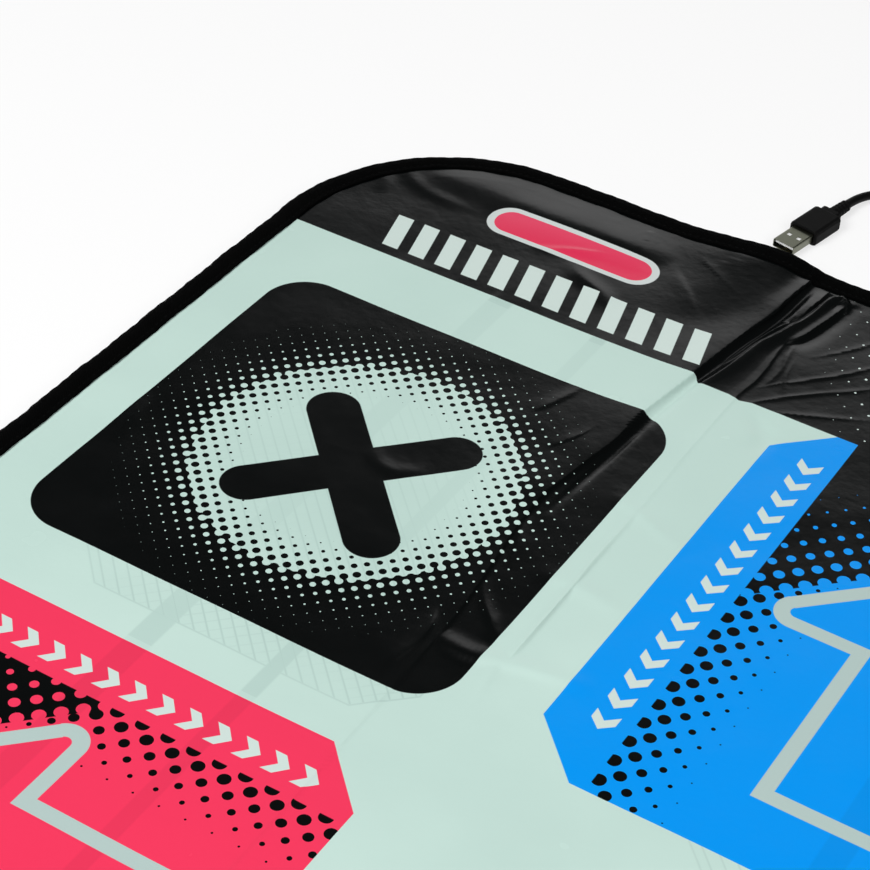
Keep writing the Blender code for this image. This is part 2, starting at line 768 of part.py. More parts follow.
def grommet_hole():
    reach = BOX_WALL + CUTTER_REACH
    radius = GROMMET_NECK_RADIUS + CLEARANCE
    hole = rod("grommet_hole", radius, 0.0, 0.0, -reach, reach, FINE_SIDES)
    hole.rotation_euler.x = math.radians(90)
    hole.location = (0.0, BOX_BACK_Y - BOX_WALL / 2, CORD_EXIT_Z)
    return finish_cutter(hole)


def jaw(name, z_low, z_high):
    half = BOX_WIDTH / 2
    back = BOX_FRONT_Y + JAW_ROOT
    outline = [
        (-half, JAW_FRONT_Y, JAW_CORNER_RADIUS),
        (half, JAW_FRONT_Y, JAW_CORNER_RADIUS),
        (half, back, 0.0),
        (-half, back, 0.0),
    ]
    return finish_cutter(plate(name, [outline], z_low, z_high))


def make_case_bottom(hole):
    case = bevelled(plate("case_bottom", [box_outline()], 0.0, PARTING_LOW_Z), BOX_BEVEL)
    inner_top = PARTING_LOW_Z + CUTTER_REACH
    cavity = plate("case_bottom_cavity", [box_outline(BOX_WALL)], BOX_WALL, inner_top)
    boolean(case, finish_cutter(cavity), "DIFFERENCE")
    boolean(case, jaw("lower_jaw", 0.0, BOTTOM_COVER_THICKNESS), "UNION")
    floor_z = BOX_WALL / 2
    post_top = PARTING_LOW_Z - CASE_POST_SETBACK
    for index, (x, y) in enumerate(case_screw_places()):
        post = rod(f"case_post_{index}", CASE_BOSS_RADIUS, x, y, floor_z, post_top)
        boolean(case, finish_cutter(post), "UNION")
        bore = rod(f"case_bore_{index}", SCREW_HOLE_RADIUS, x, y, -CUTTER_REACH, inner_top)
        boolean(case, finish_cutter(bore), "DIFFERENCE")
        recess_radius = SCREW_HEAD_RADIUS + CLEARANCE
        recess = rod(f"case_recess_{index}", recess_radius, x, y, -CUTTER_REACH, CASE_SCREW_RECESS)
        boolean(case, finish_cutter(recess), "DIFFERENCE")
    for index, (x, y) in enumerate(clamp_screw_places()):
        post = rod(f"clamp_post_{index}", BOARD_POST_RADIUS, x, y, floor_z, BOARD_Z - CLEARANCE)
        boolean(case, finish_cutter(post), "UNION")
        low = CLAMP_SCREW_TIP_Z - CLEARANCE
        bore = rod(f"clamp_bore_{index}", SCREW_HOLE_RADIUS, x, y, low, inner_top)
        boolean(case, finish_cutter(bore), "DIFFERENCE")
    for index, (x, y) in enumerate(board_pin_places()):
        post = rod(f"board_post_{index}", BOARD_POST_RADIUS, x, y, floor_z, BOARD_Z - CLEARANCE)
        boolean(case, finish_cutter(post), "UNION")
        pin = rod(f"board_pin_{index}", BOARD_PIN_RADIUS, x, y, floor_z, BOARD_TOP_Z - CLEARANCE)
        boolean(case, finish_cutter(pin), "UNION")
    boolean(case, hole, "DIFFERENCE")
    finish_part(case, BLACK_PLASTIC)


def make_case_top(hole):
    case = bevelled(plate("case_top", [box_outline()], PARTING_HIGH_Z, BOX_HEIGHT), BOX_BEVEL)
    ceiling = BOX_HEIGHT - BOX_WALL
    inner_low = PARTING_HIGH_Z - CUTTER_REACH
    cavity = plate("case_top_cavity", [box_outline(BOX_WALL)], inner_low, ceiling)
    boolean(case, finish_cutter(cavity), "DIFFERENCE")
    jaw_low = MAT_TOP_Z + CLEARANCE
    boolean(case, jaw("upper_jaw", jaw_low, jaw_low + JAW_THICKNESS), "UNION")
    screw_tip = BOX_WALL / 2 + CASE_SCREW_LENGTH
    for index, (x, y) in enumerate(case_screw_places()):
        boss_low = PARTING_HIGH_Z + CASE_POST_SETBACK
        boss = rod(f"case_boss_{index}", CASE_BOSS_RADIUS, x, y, boss_low, ceiling + BOX_WALL / 2)
        boolean(case, finish_cutter(boss), "UNION")
        bore_top = screw_tip + CASE_SCREW_RECESS
        bore = rod(f"boss_bore_{index}", SCREW_HOLE_RADIUS, x, y, inner_low, bore_top)
        boolean(case, finish_cutter(bore), "DIFFERENCE")
    half = TAIL_WIDTH / 2 + 2 * CLEARANCE
    slot_top = UPPER_FILM_Z + FILM_THICKNESS + CLEARANCE
    slot_back = BOX_FRONT_Y + BOX_WALL + CUTTER_REACH
    slot = block("tail_slot", -half, half, BOX_FRONT_Y - CUTTER_REACH, slot_back, inner_low, slot_top)
    boolean(case, finish_cutter(slot), "DIFFERENCE")
    boolean(case, hole, "DIFFERENCE")
    finish_part(case, BLACK_PLASTIC)


def make_screw(name, x, y, z_under_head, length, head_up):
    head = SCREW_HEAD_HEIGHT
    profile = [
        (0.0, head),
        (SCREW_HEAD_RADIUS * SCREW_HEAD_FLAT_SHARE, head),
        (SCREW_HEAD_RADIUS, head * SCREW_HEAD_EDGE_SHARE),
        (SCREW_HEAD_RADIUS, 0.0),
        (SCREW_SHANK_RADIUS, 0.0),
        (SCREW_SHANK_RADIUS, -length * (1 - SCREW_TIP_SHARE)),
        (0.0, -length),
    ]
    screw = turned(name, profile, ROUND_SIDES)
    screw.location = (x, y, z_under_head)
    if not head_up:
        screw.rotation_euler.x = math.pi
    finish_part(screw, STEEL)


def make_board():
    half = BOARD_WIDTH / 2
    outline = rectangle(-half, half, BOARD_FRONT_Y, BOARD_BACK_Y, BOARD_CORNER_RADIUS)
    board = plate("circuit_board", [outline], BOARD_Z, BOARD_TOP_Z)
    low = BOARD_Z - CUTTER_REACH
    high = BOARD_TOP_Z + CUTTER_REACH
    for index, (x, y) in enumerate(clamp_screw_places() + board_pin_places()):
        hole = rod(f"board_hole_{index}", SCREW_HOLE_RADIUS, x, y, low, high)
        boolean(board, finish_cutter(hole), "DIFFERENCE")
    finish_part(board, BOARD_GREEN)


def make_board_parts():
    z = PART_ON_BOARD_Z
    y = BOARD_BACK_Y - PARTS_FROM_BOARD_BACK
    half = CHIP_SIDE / 2
    outline = rectangle(CHIP_X - half, CHIP_X + half, y - half, y + half, CHIP_CORNER_RADIUS)
    finish_part(plate("encoder_chip", [outline], z, z + CHIP_THICKNESS), BLACK_PLASTIC)
    half = CRYSTAL_LENGTH / 2
    low = y - CRYSTAL_WIDTH / 2
    outline = rectangle(CRYSTAL_X - half, CRYSTAL_X + half, low, low + CRYSTAL_WIDTH, CRYSTAL_CORNER_RADIUS)
    finish_part(plate("clock_crystal", [outline], z, z + CRYSTAL_HEIGHT), STEEL)
    top = z + CAPACITOR_HEIGHT
    capacitor = rod("board_capacitor", CAPACITOR_RADIUS, CAPACITOR_X, y, z, top, FINE_SIDES)
    finish_part(capacitor, BLACK_PLASTIC)


def make_clamp():
    half = STRIP_WIDTH / 2
    low = CLAMP_Y - STRIP_DEPTH / 2
    outline = rectangle(-half, half, low, low + STRIP_DEPTH, STRIP_CORNER_RADIUS)
    finish_part(plate("clamp_strip", [outline], STRIP_Z, STRIP_Z + STRIP_THICKNESS), BLACK_RUBBER)
    half = CLAMP_WIDTH / 2
    low = CLAMP_Y - CLAMP_DEPTH / 2
    high = CLAMP_Y + CLAMP_DEPTH / 2
    outline = rectangle(-half, half, low, high, CLAMP_CORNER_RADIUS)
    bar = plate("clamp_bar", [outline], CLAMP_Z, CLAMP_TOP_Z)
    foot_low = low + CLAMP_FOOT_SETBACK
    foot_high = high - CLAMP_FOOT_SETBACK
    foot_outer = half - CLAMP_FOOT_SETBACK
    foot_inner = STRIP_WIDTH / 2 + CLAMP_FOOT_FROM_STRIP
    foot_top = CLAMP_Z + CLAMP_THICKNESS / 2
    for index, side in enumerate((-1, 1)):
        x_low, x_high = sorted((side * foot_outer, side * foot_inner))
        foot = block(f"clamp_foot_{index}", x_low, x_high, foot_low, foot_high, PART_ON_BOARD_Z, foot_top)
        boolean(bar, finish_cutter(foot), "UNION")
    for index, (x, y) in enumerate(clamp_screw_places()):
        hole = rod(f"clamp_hole_{index}", SCREW_HOLE_RADIUS, x, y, 0.0, BOX_HEIGHT)
        boolean(bar, finish_cutter(hole), "DIFFERENCE")
        under_head = CLAMP_TOP_Z + CLEARANCE
        make_screw(f"clamp_screw_{index + 1}", x, y, under_head, under_head - CLAMP_SCREW_TIP_Z, True)
    finish_part(bar, WHITE_PLASTIC)


def make_grommet():
    # Turned about the cord: a flange on each side of the wall, then a tapered relief
    bore = CORD_RADIUS + CLEARANCE
    neck_back = -BOX_WALL - CLEARANCE
    neck_front = CLEARANCE
    flange = GROMMET_FLANGE_THICKNESS
    tip = neck_front + flange + GROMMET_RELIEF_LENGTH
    profile = [
        (bore, tip),
        (GROMMET_TIP_RADIUS, tip),
        (GROMMET_ROOT_RADIUS, neck_front + flange),
        (GROMMET_FLANGE_RADIUS, neck_front + flange),
        (GROMMET_FLANGE_RADIUS, neck_front),
        (GROMMET_NECK_RADIUS, neck_front),
        (GROMMET_NECK_RADIUS, neck_back),
        (GROMMET_FLANGE_RADIUS, neck_back),
        (GROMMET_FLANGE_RADIUS, neck_back - flange),
        (bore, neck_back - flange),
    ]
    grommet = turned("cord_grommet", profile)
    grommet.rotation_euler.x = -math.pi / 2
    grommet.location = (0.0, BOX_BACK_Y, CORD_EXIT_Z)
    finish_part(grommet, BLACK_RUBBER)


def make_cord_inside():
    ends = [(0.0, STUB_INNER_Y, CORD_EXIT_Z), (0.0, GROMMET_END_Y, CORD_EXIT_Z)]
    finish_part(tube("cord_stub", ends, CORD_RADIUS, CORD_SIDES), BLACK_RUBBER)
    drop = CORD_EXIT_Z - PART_ON_BOARD_Z - CONDUCTOR_RADIUS
    for index in range(CONDUCTORS):
        place = index - (CONDUCTORS - 1) / 2
        route = [
            (
                place * (CONDUCTOR_PITCH + spread * (CONDUCTOR_SPREAD - CONDUCTOR_PITCH)),
                STUB_INNER_Y - along,
                CORD_EXIT_Z - fall * drop,
            )
            for along, spread, fall in CONDUCTOR_ROUTE
        ]
        points = smooth_route(route, CONDUCTOR_SPACING)
        wire = tube(f"conductor_{index + 1}", points, CONDUCTOR_RADIUS, COIL_SIDES)
        finish_part(wire, BLACK_RUBBER)


def make_control_box():
    hole = grommet_hole()
    make_case_bottom(hole)
    make_case_top(hole)
    under_head = CASE_SCREW_RECESS - CLEARANCE
    for index, (x, y) in enumerate(case_screw_places()):
        make_screw(f"case_screw_{index + 1}", x, y, under_head, CASE_SCREW_LENGTH, False)
    make_board()
    make_board_parts()
    make_clamp()
    make_grommet()
    make_cord_inside()


# The cord

def coil_point(turn):
    # turn runs from minus to plus the turns each way, and is zero where the spiral reverses
    radius = COIL_INNER_RADIUS + COIL_STEP * math.hypot(turn, COIL_REVERSE_SOFTNESS)
    angle = math.radians(COIL_START_DEG) + 2 * math.pi * (turn + COIL_TURNS_EACH_WAY)
    climb = min(max(turn / COIL_CLIMB_TURNS + 0.5, 0.0), 1.0)
    climb = climb * climb * (3 - 2 * climb)
    return Vector((
        COIL_CENTRE[0] + radius * math.cos(angle),
        COIL_CENTRE[1] + radius * math.sin(angle),
        COIL_LOW_Z + COIL_STEP * climb,
    ))


def coil_points():
    count = round(2 * COIL_TURNS_EACH_WAY * COIL_POINTS_PER_TURN)
    turns = [2 * COIL_TURNS_EACH_WAY * step / count - COIL_TURNS_EACH_WAY for step in range(count + 1)]
    points = [coil_point(turn) for turn in turns]
    straight = Vector((STRAIGHT_END, 0.0, 0.0))
    return [points[0] + straight] + points + [points[-1] - straight]


def least_gap(points):
    # Turns that lie beside or on each other are at least half a turn apart along the cord
    apart = COIL_POINTS_PER_TURN // 2
    least = min(
        (points[i] - points[j]).length
        for i in range(len(points)) for j in range(i + apart, len(points))
    )
    return least - 2 * CORD_RADIUS


def make_tie():
    # At the coil's right side, where all turns lie level in their two layers
    x_centre, y_centre = COIL_CENTRE
    shift = COIL_STEP * COIL_TURNS_AT_TIE
    reach = CORD_RADIUS + CLEARANCE
    low = x_centre + COIL_INNER_RADIUS + shift - reach - TIE_INNER_SLACK
    high = x_centre + COIL_OUTER_RADIUS - shift + reach + TIE_OUTER_SLACK
    top = COIL_HIGH_Z + CORD_RADIUS + CLEARANCE
    inner = rectangle(low, high, TIE_THICKNESS, top, TIE_CORNER_RADIUS)
    outer = grown(inner, TIE_THICKNESS)
    tie = plate("coil_tie", [outer, inner], -TIE_WIDTH / 2, TIE_WIDTH / 2)
    tie.rotation_euler.x = math.pi / 2
    tie.location.y = y_centre
    finish_part(tie, BLACK_RUBBER)


def plug_place(along):
    turn = math.radians(PLUG_TURN_DEG)
    axis = Vector((-math.sin(turn), math.cos(turn), 0.0))
    return Vector((*PLUG_TIP, PLUG_BODY_HEIGHT / 2)) + axis * along


def make_cord():
    turns = coil_points()
    print(f"coil: {2 * COIL_TURNS_EACH_WAY:.1f} turns, least gap {least_gap(turns[1:-1]) * 1000:.2f} mm")
    exit_point = (0.0, GROMMET_END_Y + CLEARANCE, CORD_EXIT_Z)
    joint = Vector((CLEARANCE, 0.0, 0.0))
    relief_end = SHELL_SHOWN + PLUG_BODY_LENGTH + PLUG_NECK_LENGTH + PLUG_RELIEF_LENGTH
    lead_ends = [turns[0] + Vector((STRAIGHT_END, 0.0, 0.0)), turns[0] + joint]
    plug_ends = [plug_place(relief_end + STRAIGHT_END), plug_place(relief_end + CLEARANCE)]
    lead = smooth_route([exit_point] + LEAD_ROUTE + lead_ends, ROUTE_SPACING)
    tail = smooth_route([turns[-1] - joint] + TAIL_ROUTE + plug_ends, ROUTE_SPACING)
    finish_part(tube("cord_lead", lead, CORD_RADIUS, CORD_SIDES), BLACK_RUBBER)
    finish_part(tube("cord_coil", turns, CORD_RADIUS, COIL_SIDES), BLACK_RUBBER)
    finish_part(tube("cord_tail", tail, CORD_RADIUS, CORD_SIDES), BLACK_RUBBER)
    make_tie()
    lengths = [path_length(run) for run in (lead, turns, tail)]
    print("cord lengths, m:", [round(length, 4) for length in lengths], "all:", round(sum(lengths), 4))


# The plug

def make_plug_frame():
    frame = bpy.data.objects.new("plug_frame", None)
    frame.location = (*PLUG_TIP, PLUG_BODY_HEIGHT / 2)
    frame.rotation_euler.z = math.radians(PLUG_TURN_DEG)
    PARTS.objects.link(frame)
    return frame


def on_plug(part, frame):
    part.parent = frame
    return part


def along_plug(part):
    # A solid made along Z turns so that its top faces the cord
    part.rotation_euler.x = -math.pi / 2
    part.location = (0.0, part.location.z, 0.0)
    return part


def make_shell(frame):
    half_width = SHELL_WIDTH / 2
    half_height = SHELL_HEIGHT / 2
    outer = rectangle(-half_width, half_width, -half_height, half_height, SHELL_CORNER_RADIUS)
    inner = grown(outer, -SHELL_WALL)
    shell = along_plug(plate("plug_shell", [outer, inner], 0.0, SHELL_SHOWN + SHELL_SUNK))
    near = SHELL_WINDOW_FROM_TIP - SHELL_WINDOW / 2
    for index, side in enumerate((-1, 1)):
        x = side * SHELL_WINDOW_SPACING / 2
        window = block(
            f"shell_window_{index}", x - SHELL_WINDOW / 2, x + SHELL_WINDOW / 2,
            near, near + SHELL_WINDOW, -SHELL_HEIGHT, SHELL_HEIGHT,
        )
        boolean(shell, finish_cutter(on_plug(window, frame)), "DIFFERENCE")
    finish_part(on_plug(shell, frame), PLATED_SHELL)


def make_tongue(frame):
    half_width = SHELL_WIDTH / 2 - SHELL_WALL - CLEARANCE
    high = SHELL_HEIGHT / 2 - SHELL_WALL - CLEARANCE
    low = high - TONGUE_THICKNESS
    back = SHELL_SHOWN + SHELL_SUNK
    tongue = block("plug_tongue", -half_width, half_width, TONGUE_FROM_TIP, back, low, high)
    finish_part(on_plug(tongue, frame), WHITE_PLASTIC)
    contact_high = low - CLEARANCE
    front = TONGUE_FROM_TIP + CONTACT_SETBACK
    for index in range(CONTACTS):
        x = (index - (CONTACTS - 1) / 2) * CONTACT_PITCH
        contact = block(
            f"plug_contact_{index + 1}", x - CONTACT_WIDTH / 2, x + CONTACT_WIDTH / 2,
            front, front + CONTACT_LENGTH, contact_high - CONTACT_THICKNESS, contact_high,
        )
        finish_part(on_plug(contact, frame), COPPER)


def make_plug_body(frame):
    half_width = PLUG_BODY_WIDTH / 2
    half_height = PLUG_BODY_HEIGHT / 2
    body_end = SHELL_SHOWN + PLUG_BODY_LENGTH
    section = rectangle(-half_width, half_width, -half_height, half_height, PLUG_BODY_CORNER_RADIUS)
    body = along_plug(plate("plug_body", [section], SHELL_SHOWN, body_end))
    bevelled(body, PLUG_BODY_BEVEL)
    neck_width = half_width * PLUG_NECK_WIDTH_SHARE
    neck_height = half_height * PLUG_NECK_HEIGHT_SHARE
    section = rectangle(-neck_width, neck_width, -neck_height, neck_height, PLUG_NECK_CORNER_RADIUS)
    neck_start = body_end - PLUG_NECK_OVERLAP
    neck = along_plug(plate("plug_neck", [section], neck_start, body_end + PLUG_NECK_LENGTH))
    boolean(body, finish_cutter(on_plug(neck, frame)), "UNION")
    pocket_width = SHELL_WIDTH / 2 + CLEARANCE
    pocket_height = SHELL_HEIGHT / 2 + CLEARANCE
    pocket_end = SHELL_SHOWN + SHELL_SUNK + CLEARANCE
    pocket = block(
        "plug_pocket", -pocket_width, pocket_width, SHELL_SHOWN - CUTTER_REACH, pocket_end,
        -pocket_height, pocket_height,
    )
    boolean(body, finish_cutter(on_plug(pocket, frame)), "DIFFERENCE")
    finish_part(on_plug(body, frame), BLACK_PLASTIC)


def make_plug_relief(frame):
    # A tapered sleeve with ribs round it, turned about the cord
    start = SHELL_SHOWN + PLUG_BODY_LENGTH + PLUG_NECK_LENGTH + CLEARANCE
    length = PLUG_RELIEF_LENGTH - CLEARANCE
    rib = length / (2 * PLUG_RIBS + 1)
    profile = [(0.0, length)]
    for index in range(2 * PLUG_RIBS + 1):
        share = index / (2 * PLUG_RIBS)
        radius = PLUG_RELIEF_TIP_RADIUS + share * (PLUG_RELIEF_RADIUS - PLUG_RELIEF_TIP_RADIUS)
        if index % 2:
            radius -= PLUG_RIB_DEPTH
        profile.append((radius, length - index * rib))
        profile.append((radius, length - (index + PLUG_RIB_LAND_SHARE) * rib))
    profile.append((profile[-1][0], 0.0))
    profile.append((0.0, 0.0))
    relief = turned("plug_relief", profile, ROUND_SIDES)
    relief.rotation_euler.x = -math.pi / 2
    relief.location.y = start
    finish_part(on_plug(relief, frame), BLACK_RUBBER)


def make_plug():
    frame = make_plug_frame()
    make_shell(frame)
    make_tongue(frame)
    make_plug_body(frame)
    make_plug_relief(frame)


make_layers()
make_zones()
make_binding()
make_control_box()
make_cord()
make_plug()
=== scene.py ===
# The looks of a soft dance mat controller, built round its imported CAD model.
# Lengths are in millimetres, as on a drawing of the print, and MM turns them into metres. The camera, the
# cord, the floor and the lamps are in metres.

import json
import math
from collections import namedtuple
from functools import partialmethod

import bmesh
import bpy
import numpy as np
from mathutils import Matrix, Vector


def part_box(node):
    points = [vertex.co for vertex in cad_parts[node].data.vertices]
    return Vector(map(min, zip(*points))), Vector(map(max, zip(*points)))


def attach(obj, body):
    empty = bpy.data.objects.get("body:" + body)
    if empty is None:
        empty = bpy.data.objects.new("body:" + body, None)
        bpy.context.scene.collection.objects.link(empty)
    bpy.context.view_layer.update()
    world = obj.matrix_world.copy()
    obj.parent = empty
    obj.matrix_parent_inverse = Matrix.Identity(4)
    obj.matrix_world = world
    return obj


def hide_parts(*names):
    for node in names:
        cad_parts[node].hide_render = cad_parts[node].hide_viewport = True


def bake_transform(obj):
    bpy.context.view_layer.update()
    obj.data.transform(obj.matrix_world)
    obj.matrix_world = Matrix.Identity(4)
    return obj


MM = 0.001

# The camera, where the photograph was taken from
CAMERA_PLACE = Vector((0.15017, -0.45283, 0.66429))
CAMERA_FORWARD = Vector((-0.3877838, 0.67589574, -0.62672855))
CAMERA_UP = Vector((-0.36088704, 0.51432222, 0.77796735))
CAMERA_LENS = 100.444

# The mat's plan
PITCH = 271.5
MIDDLE_ROW_Y = -55.0
MAT_CORNER_RADIUS = 98.0
HEADER_Y = 357.0
PANEL_HALF = 103.0
NOTCH_HALF_WIDTH = 52.3
NOTCH_Y = 439.7
COVER_INSET = 3.0
STEP_ZONES = ["cross", "ring", "plus", "diamond", "up", "down", "left", "right"]
PILL_ZONES = ["select", "start"]

# The cord: lead, coil and tail, as in the CAD source
CORD_RADIUS = 0.00225
CORD_EXIT = (0.0, 0.5076, 0.0086)
LEAD_ROUTE = [
    (0, 0.516, 0.0086), (-0.0003, 0.5235, 0.0079), (-0.0015, 0.531, 0.0064), (-0.0043, 0.5383, 0.0048),
    (-0.009, 0.545, 0.0036), (-0.0152, 0.5508, 0.0029), (-0.0227, 0.5557, 0.0026), (-0.0312, 0.5598, 0.0025),
    (-0.0402, 0.5633, 0.0026), (-0.0495, 0.5662, 0.0028), (-0.059, 0.5683, 0.0031), (-0.069, 0.5697, 0.0033),
    (-0.079, 0.5703, 0.00335),
]
TAIL_ROUTE = [
    (-0.1075, 0.5705, 0.0083), (-0.1165, 0.571, 0.0077), (-0.126, 0.5713, 0.0063), (-0.1355, 0.5711, 0.0047),
    (-0.145, 0.5702, 0.0034), (-0.154, 0.5682, 0.0026), (-0.1624, 0.565, 0.0024), (-0.1698, 0.5605, 0.0025),
    (-0.1758, 0.555, 0.0029), (-0.1805, 0.549, 0.0034), (-0.1838, 0.5425, 0.0038),
]
COIL_CENTRE = (-0.095, 0.532)
COIL_MIDDLE_RADIUS = 0.027
COIL_STEP = 0.0050
COIL_TURNS_EACH_WAY = 4.5
COIL_START_DEG = 90.0
COIL_REVERSE_SOFTNESS = 0.02
COIL_CLIMB_TURNS = 0.5
COIL_LOW_Z = 0.00335
COIL_POINTS_PER_TURN = 48
STRAIGHT_END = 0.0045
ROUTE_STEPS = 6
PLUG_TIP = (-0.1966, 0.4803)
PLUG_TURN_DEG = -11.0
PLUG_MIDDLE_Z = 0.004
PLUG_RELIEF_END = 0.0522

# The cover's grid: from where to where, and the widest step there
STEPS_X = [(-410, -340, 2.5), (-340, -300, 4.0), (-300, -235, 2.5), (-235, -200, 1.2), (-200, -145, 0.7),
           (-145, -100, 1.5), (-100, 165, 6.0), (165, 185, 2.0), (185, 410, 6.0)]
STEPS_Y = [(-465, 100, 6.0), (100, 200, 1.3), (200, 340, 2.5), (340, 465, 1.5)]
STRIP_WIDTH = 14.0
PILL_STRIP_WIDTH = 5.0
STRIP_STEPS = 6
SAME_PLACE = 0.05

# The folds of the cover. Each has a line of (x, y, height), its reach to the left and to the right of a
# walk along the line, and how round it is: 1 is a sharp crest and 2 a soft one.
Fold = namedtuple("Fold", "line left right roundness")
FOLDS = [
    # The hump at the rim, and the long crease that runs from it down the mat
    Fold([(-188, 470, 5.2), (-188, 452, 4.4), (-187, 436, 3.2), (-185, 415, 1.6), (-183, 396, 0.4),
          (-182, 385, 0)], 15, 32, 2.4),
    Fold([(-170, 466, 0), (-170, 451, 2.6), (-171, 442, 3.2), (-172, 430, 3.4), (-173, 417, 3.2),
          (-176, 403, 2.8), (-179, 385, 2.4), (-181, 371, 2.0), (-183, 356, 1.8), (-186, 335, 1.8),
          (-188, 319, 1.8), (-189, 295, 1.8), (-192, 278, 1.6), (-194, 264, 1.3), (-197, 243, 1.0),
          (-195, 215, 0.7), (-190, 175, 0.8), (-188, 130, 0.5), (-186, -40, 0.4), (-185, -300, 0)],
          1.1, 17, 1.4),
    # The flap and the roll beside the crease
    Fold([(-160, 452, 0.3), (-160, 443, 1.3), (-161, 434, 1.5), (-162, 425, 1.1), (-166, 417, 0)],
          0.8, 6, 1.4),
    Fold([(-146, 440, 0), (-148, 447, 1.4), (-152, 450, 2.2), (-155, 447, 2.5), (-157, 441, 2.6),
          (-158, 434, 2.5), (-160, 424, 2.3), (-162, 416, 2.1), (-165, 406, 1.9), (-169, 395, 1.8),
          (-171, 382, 1.6), (-173, 370, 1.2), (-176, 359, 0.5), (-179, 352, 0)], 5.5, 1.2, 1.6),
    Fold([(-148, 446, 0.6), (-149, 438, 1.4), (-150, 431, 1.6), (-152, 422, 1.6), (-154, 413, 1.5),
          (-157, 406, 1.1), (-161, 400, 0)], 1.0, 6, 1.4),
    Fold([(-164, 420, 0), (-166, 415, 1.0), (-169, 406, 1.4), (-172, 395, 1.3), (-174, 384, 1.0),
          (-177, 372, 0)], 1.2, 1.6, 1.5),
    # The creases that fan out to the front
    Fold([(-159, 405, 0.4), (-159, 393, 0.6), (-158, 380, 0.6), (-158, 368, 0.5), (-160, 352, 0.3),
          (-160, 309, 0.3), (-159, 265, 0.3), (-159, 220, 1.1), (-158.5, 180, 1.3), (-158.5, 158, 0.9),
          (-159, 150, 0)], 1.0, 2.5, 1.4),
    Fold([(-155, 404, 0.2), (-154, 394, 0.5), (-152, 382, 0.4), (-153, 368, 0)], 2, 1.1, 1.4),
    Fold([(-151, 398, 0), (-148, 380, 0.3), (-142, 366, 0)], 1.1, 2, 1.4),
    Fold([(-158, 348, 0), (-150, 357, 0.15), (-140, 368, 0.25), (-121, 386, 0.2), (-104, 402, 0)],
          1.2, 1.2, 1.4),
    Fold([(-156, 364, 0), (-149, 373, 0.15), (-142, 380, 0.25), (-126, 398, 0.25), (-108, 424, 0)],
          1.2, 1.2, 1.4),
    Fold([(-146, 398, 0), (-132, 416, 0.2), (-118, 440, 0)], 1.2, 1.2, 1.4),
    Fold([(-147, 350, 0), (-126, 361, 0.2), (-100, 374, 0)], 1.3, 1.3, 1.4),
    # Streaks on the hump's gentle side
    Fold([(-232, 434, 0), (-227, 425, 0.4), (-220, 418, 0.6), (-210, 408, 0.6), (-196, 391, 0)],
          2.5, 8, 1.7),
    Fold([(-224, 444, 0), (-218, 438, 0.8), (-209, 432, 1.0), (-201, 427, 0.8), (-188, 419, 0)],
          6, 1.6, 1.5),
    Fold([(-206, 414, 0), (-198, 408, 0.5), (-186, 402, 0)], 1.5, 4, 1.5),
    # The dent in the far corner, and the rise along the rim
    Fold([(-380, 430, 0), (-376, 424, 0.4), (-368, 418, 0.6), (-360, 415, 0.5), (-344, 413, 0.4),
          (-318, 414, 0)], 9, 5, 1.8),
    Fold([(-386, 424, 0), (-382, 411, 0.4), (-377, 400, 0)], 5, 5, 1.8),
    Fold([(-392, 420, 0), (-372, 429, 0.5), (-350, 431, 1.0), (-300, 431, 1.5), (-256, 431, 1.6),
          (-245, 433, 1.1), (-236, 437, 0.5), (-228, 442, 0)], 15, 13, 1.8),
    # Creases on the cross panel
    Fold([(-230, 292, 0), (-226, 300, 0.4), (-222, 311, 0.5), (-218, 325, 0)], 4, 2, 1.5),
    Fold([(-212, 272, 0), (-208, 280, 0.7), (-203, 290, 0.8), (-199, 304, 0)], 5, 1.2, 1.5),
    Fold([(-206, 304, 0), (-199, 301, 0.5), (-192, 299, 0)], 4, 4, 1.8),
    Fold([(-200, 238, 0), (-191, 215, 0.5), (-186, 198, 0)], 4, 1.4, 1.5),
    Fold([(-196, 116, 0), (-195, 128, 0.7), (-193, 141, 1.0), (-194, 153, 1.0), (-199, 166, 0)],
          5, 2, 1.6),
    Fold([(-192, 153, 0), (-184, 148, 0.7), (-174, 147, 0.8), (-165, 149.5, 0.6), (-150, 153, 0.7),
          (-137, 155, 0.5), (-122, 158, 0)], 5, 4, 2.1),
    Fold([(-192, 191, 0), (-186, 179, 0.4), (-178, 170, 0.6), (-172, 164, 0.4), (-166, 160, 0)],
          3, 1.8, 1.6),
    Fold([(-170, 204, 0.2), (-160, 205, 0.6), (-145, 203, 0.5), (-128, 200, 0)], 5, 5, 1.8),
    Fold([(-168, 262, 0.2), (-156, 258, 0.5), (-142, 252, 0.4), (-128, 248, 0)], 4, 4, 1.8),
    Fold([(-176, 175, 0), (-173, 165, 0.5), (-170, 156, 0)], 1.4, 2.4, 1.5),
    Fold([(-158.5, 156, 0), (-160.5, 145, 0.4), (-159, 133, 0.3), (-160, 118, 0)], 2, 3, 1.6),
    Fold([(-373, 208, 0), (-369, 190, 0.7), (-366, 170, 0)], 3, 6, 1.7),
    Fold([(-273, 236, 0), (-268, 227, 0.25), (-260, 223.5, 0.35), (-253, 226, 0.25), (-246, 232, 0)],
          4, 4, 2.0),
    # Soft creases elsewhere
    Fold([(-286, 362, 0), (-287, 348, 0.4), (-287, 326, 0)], 2, 2, 1.5),
    Fold([(-294, 400, 0), (-280, 409, 0.5), (-268, 415, 0.7), (-252, 422, 0)], 3, 4, 1.5),
    Fold([(-273, 403, 0), (-259, 394, 0.7), (-246, 388, 0.5), (-236, 378, 0)], 4, 5, 1.8),
    Fold([(175, 450, 1.5), (176, 420, 1.3), (177, 250, 1), (174, 20, 0.8), (176, -300, 0.6),
          (175, -440, 0)], 1.6, 14, 1.3),
]
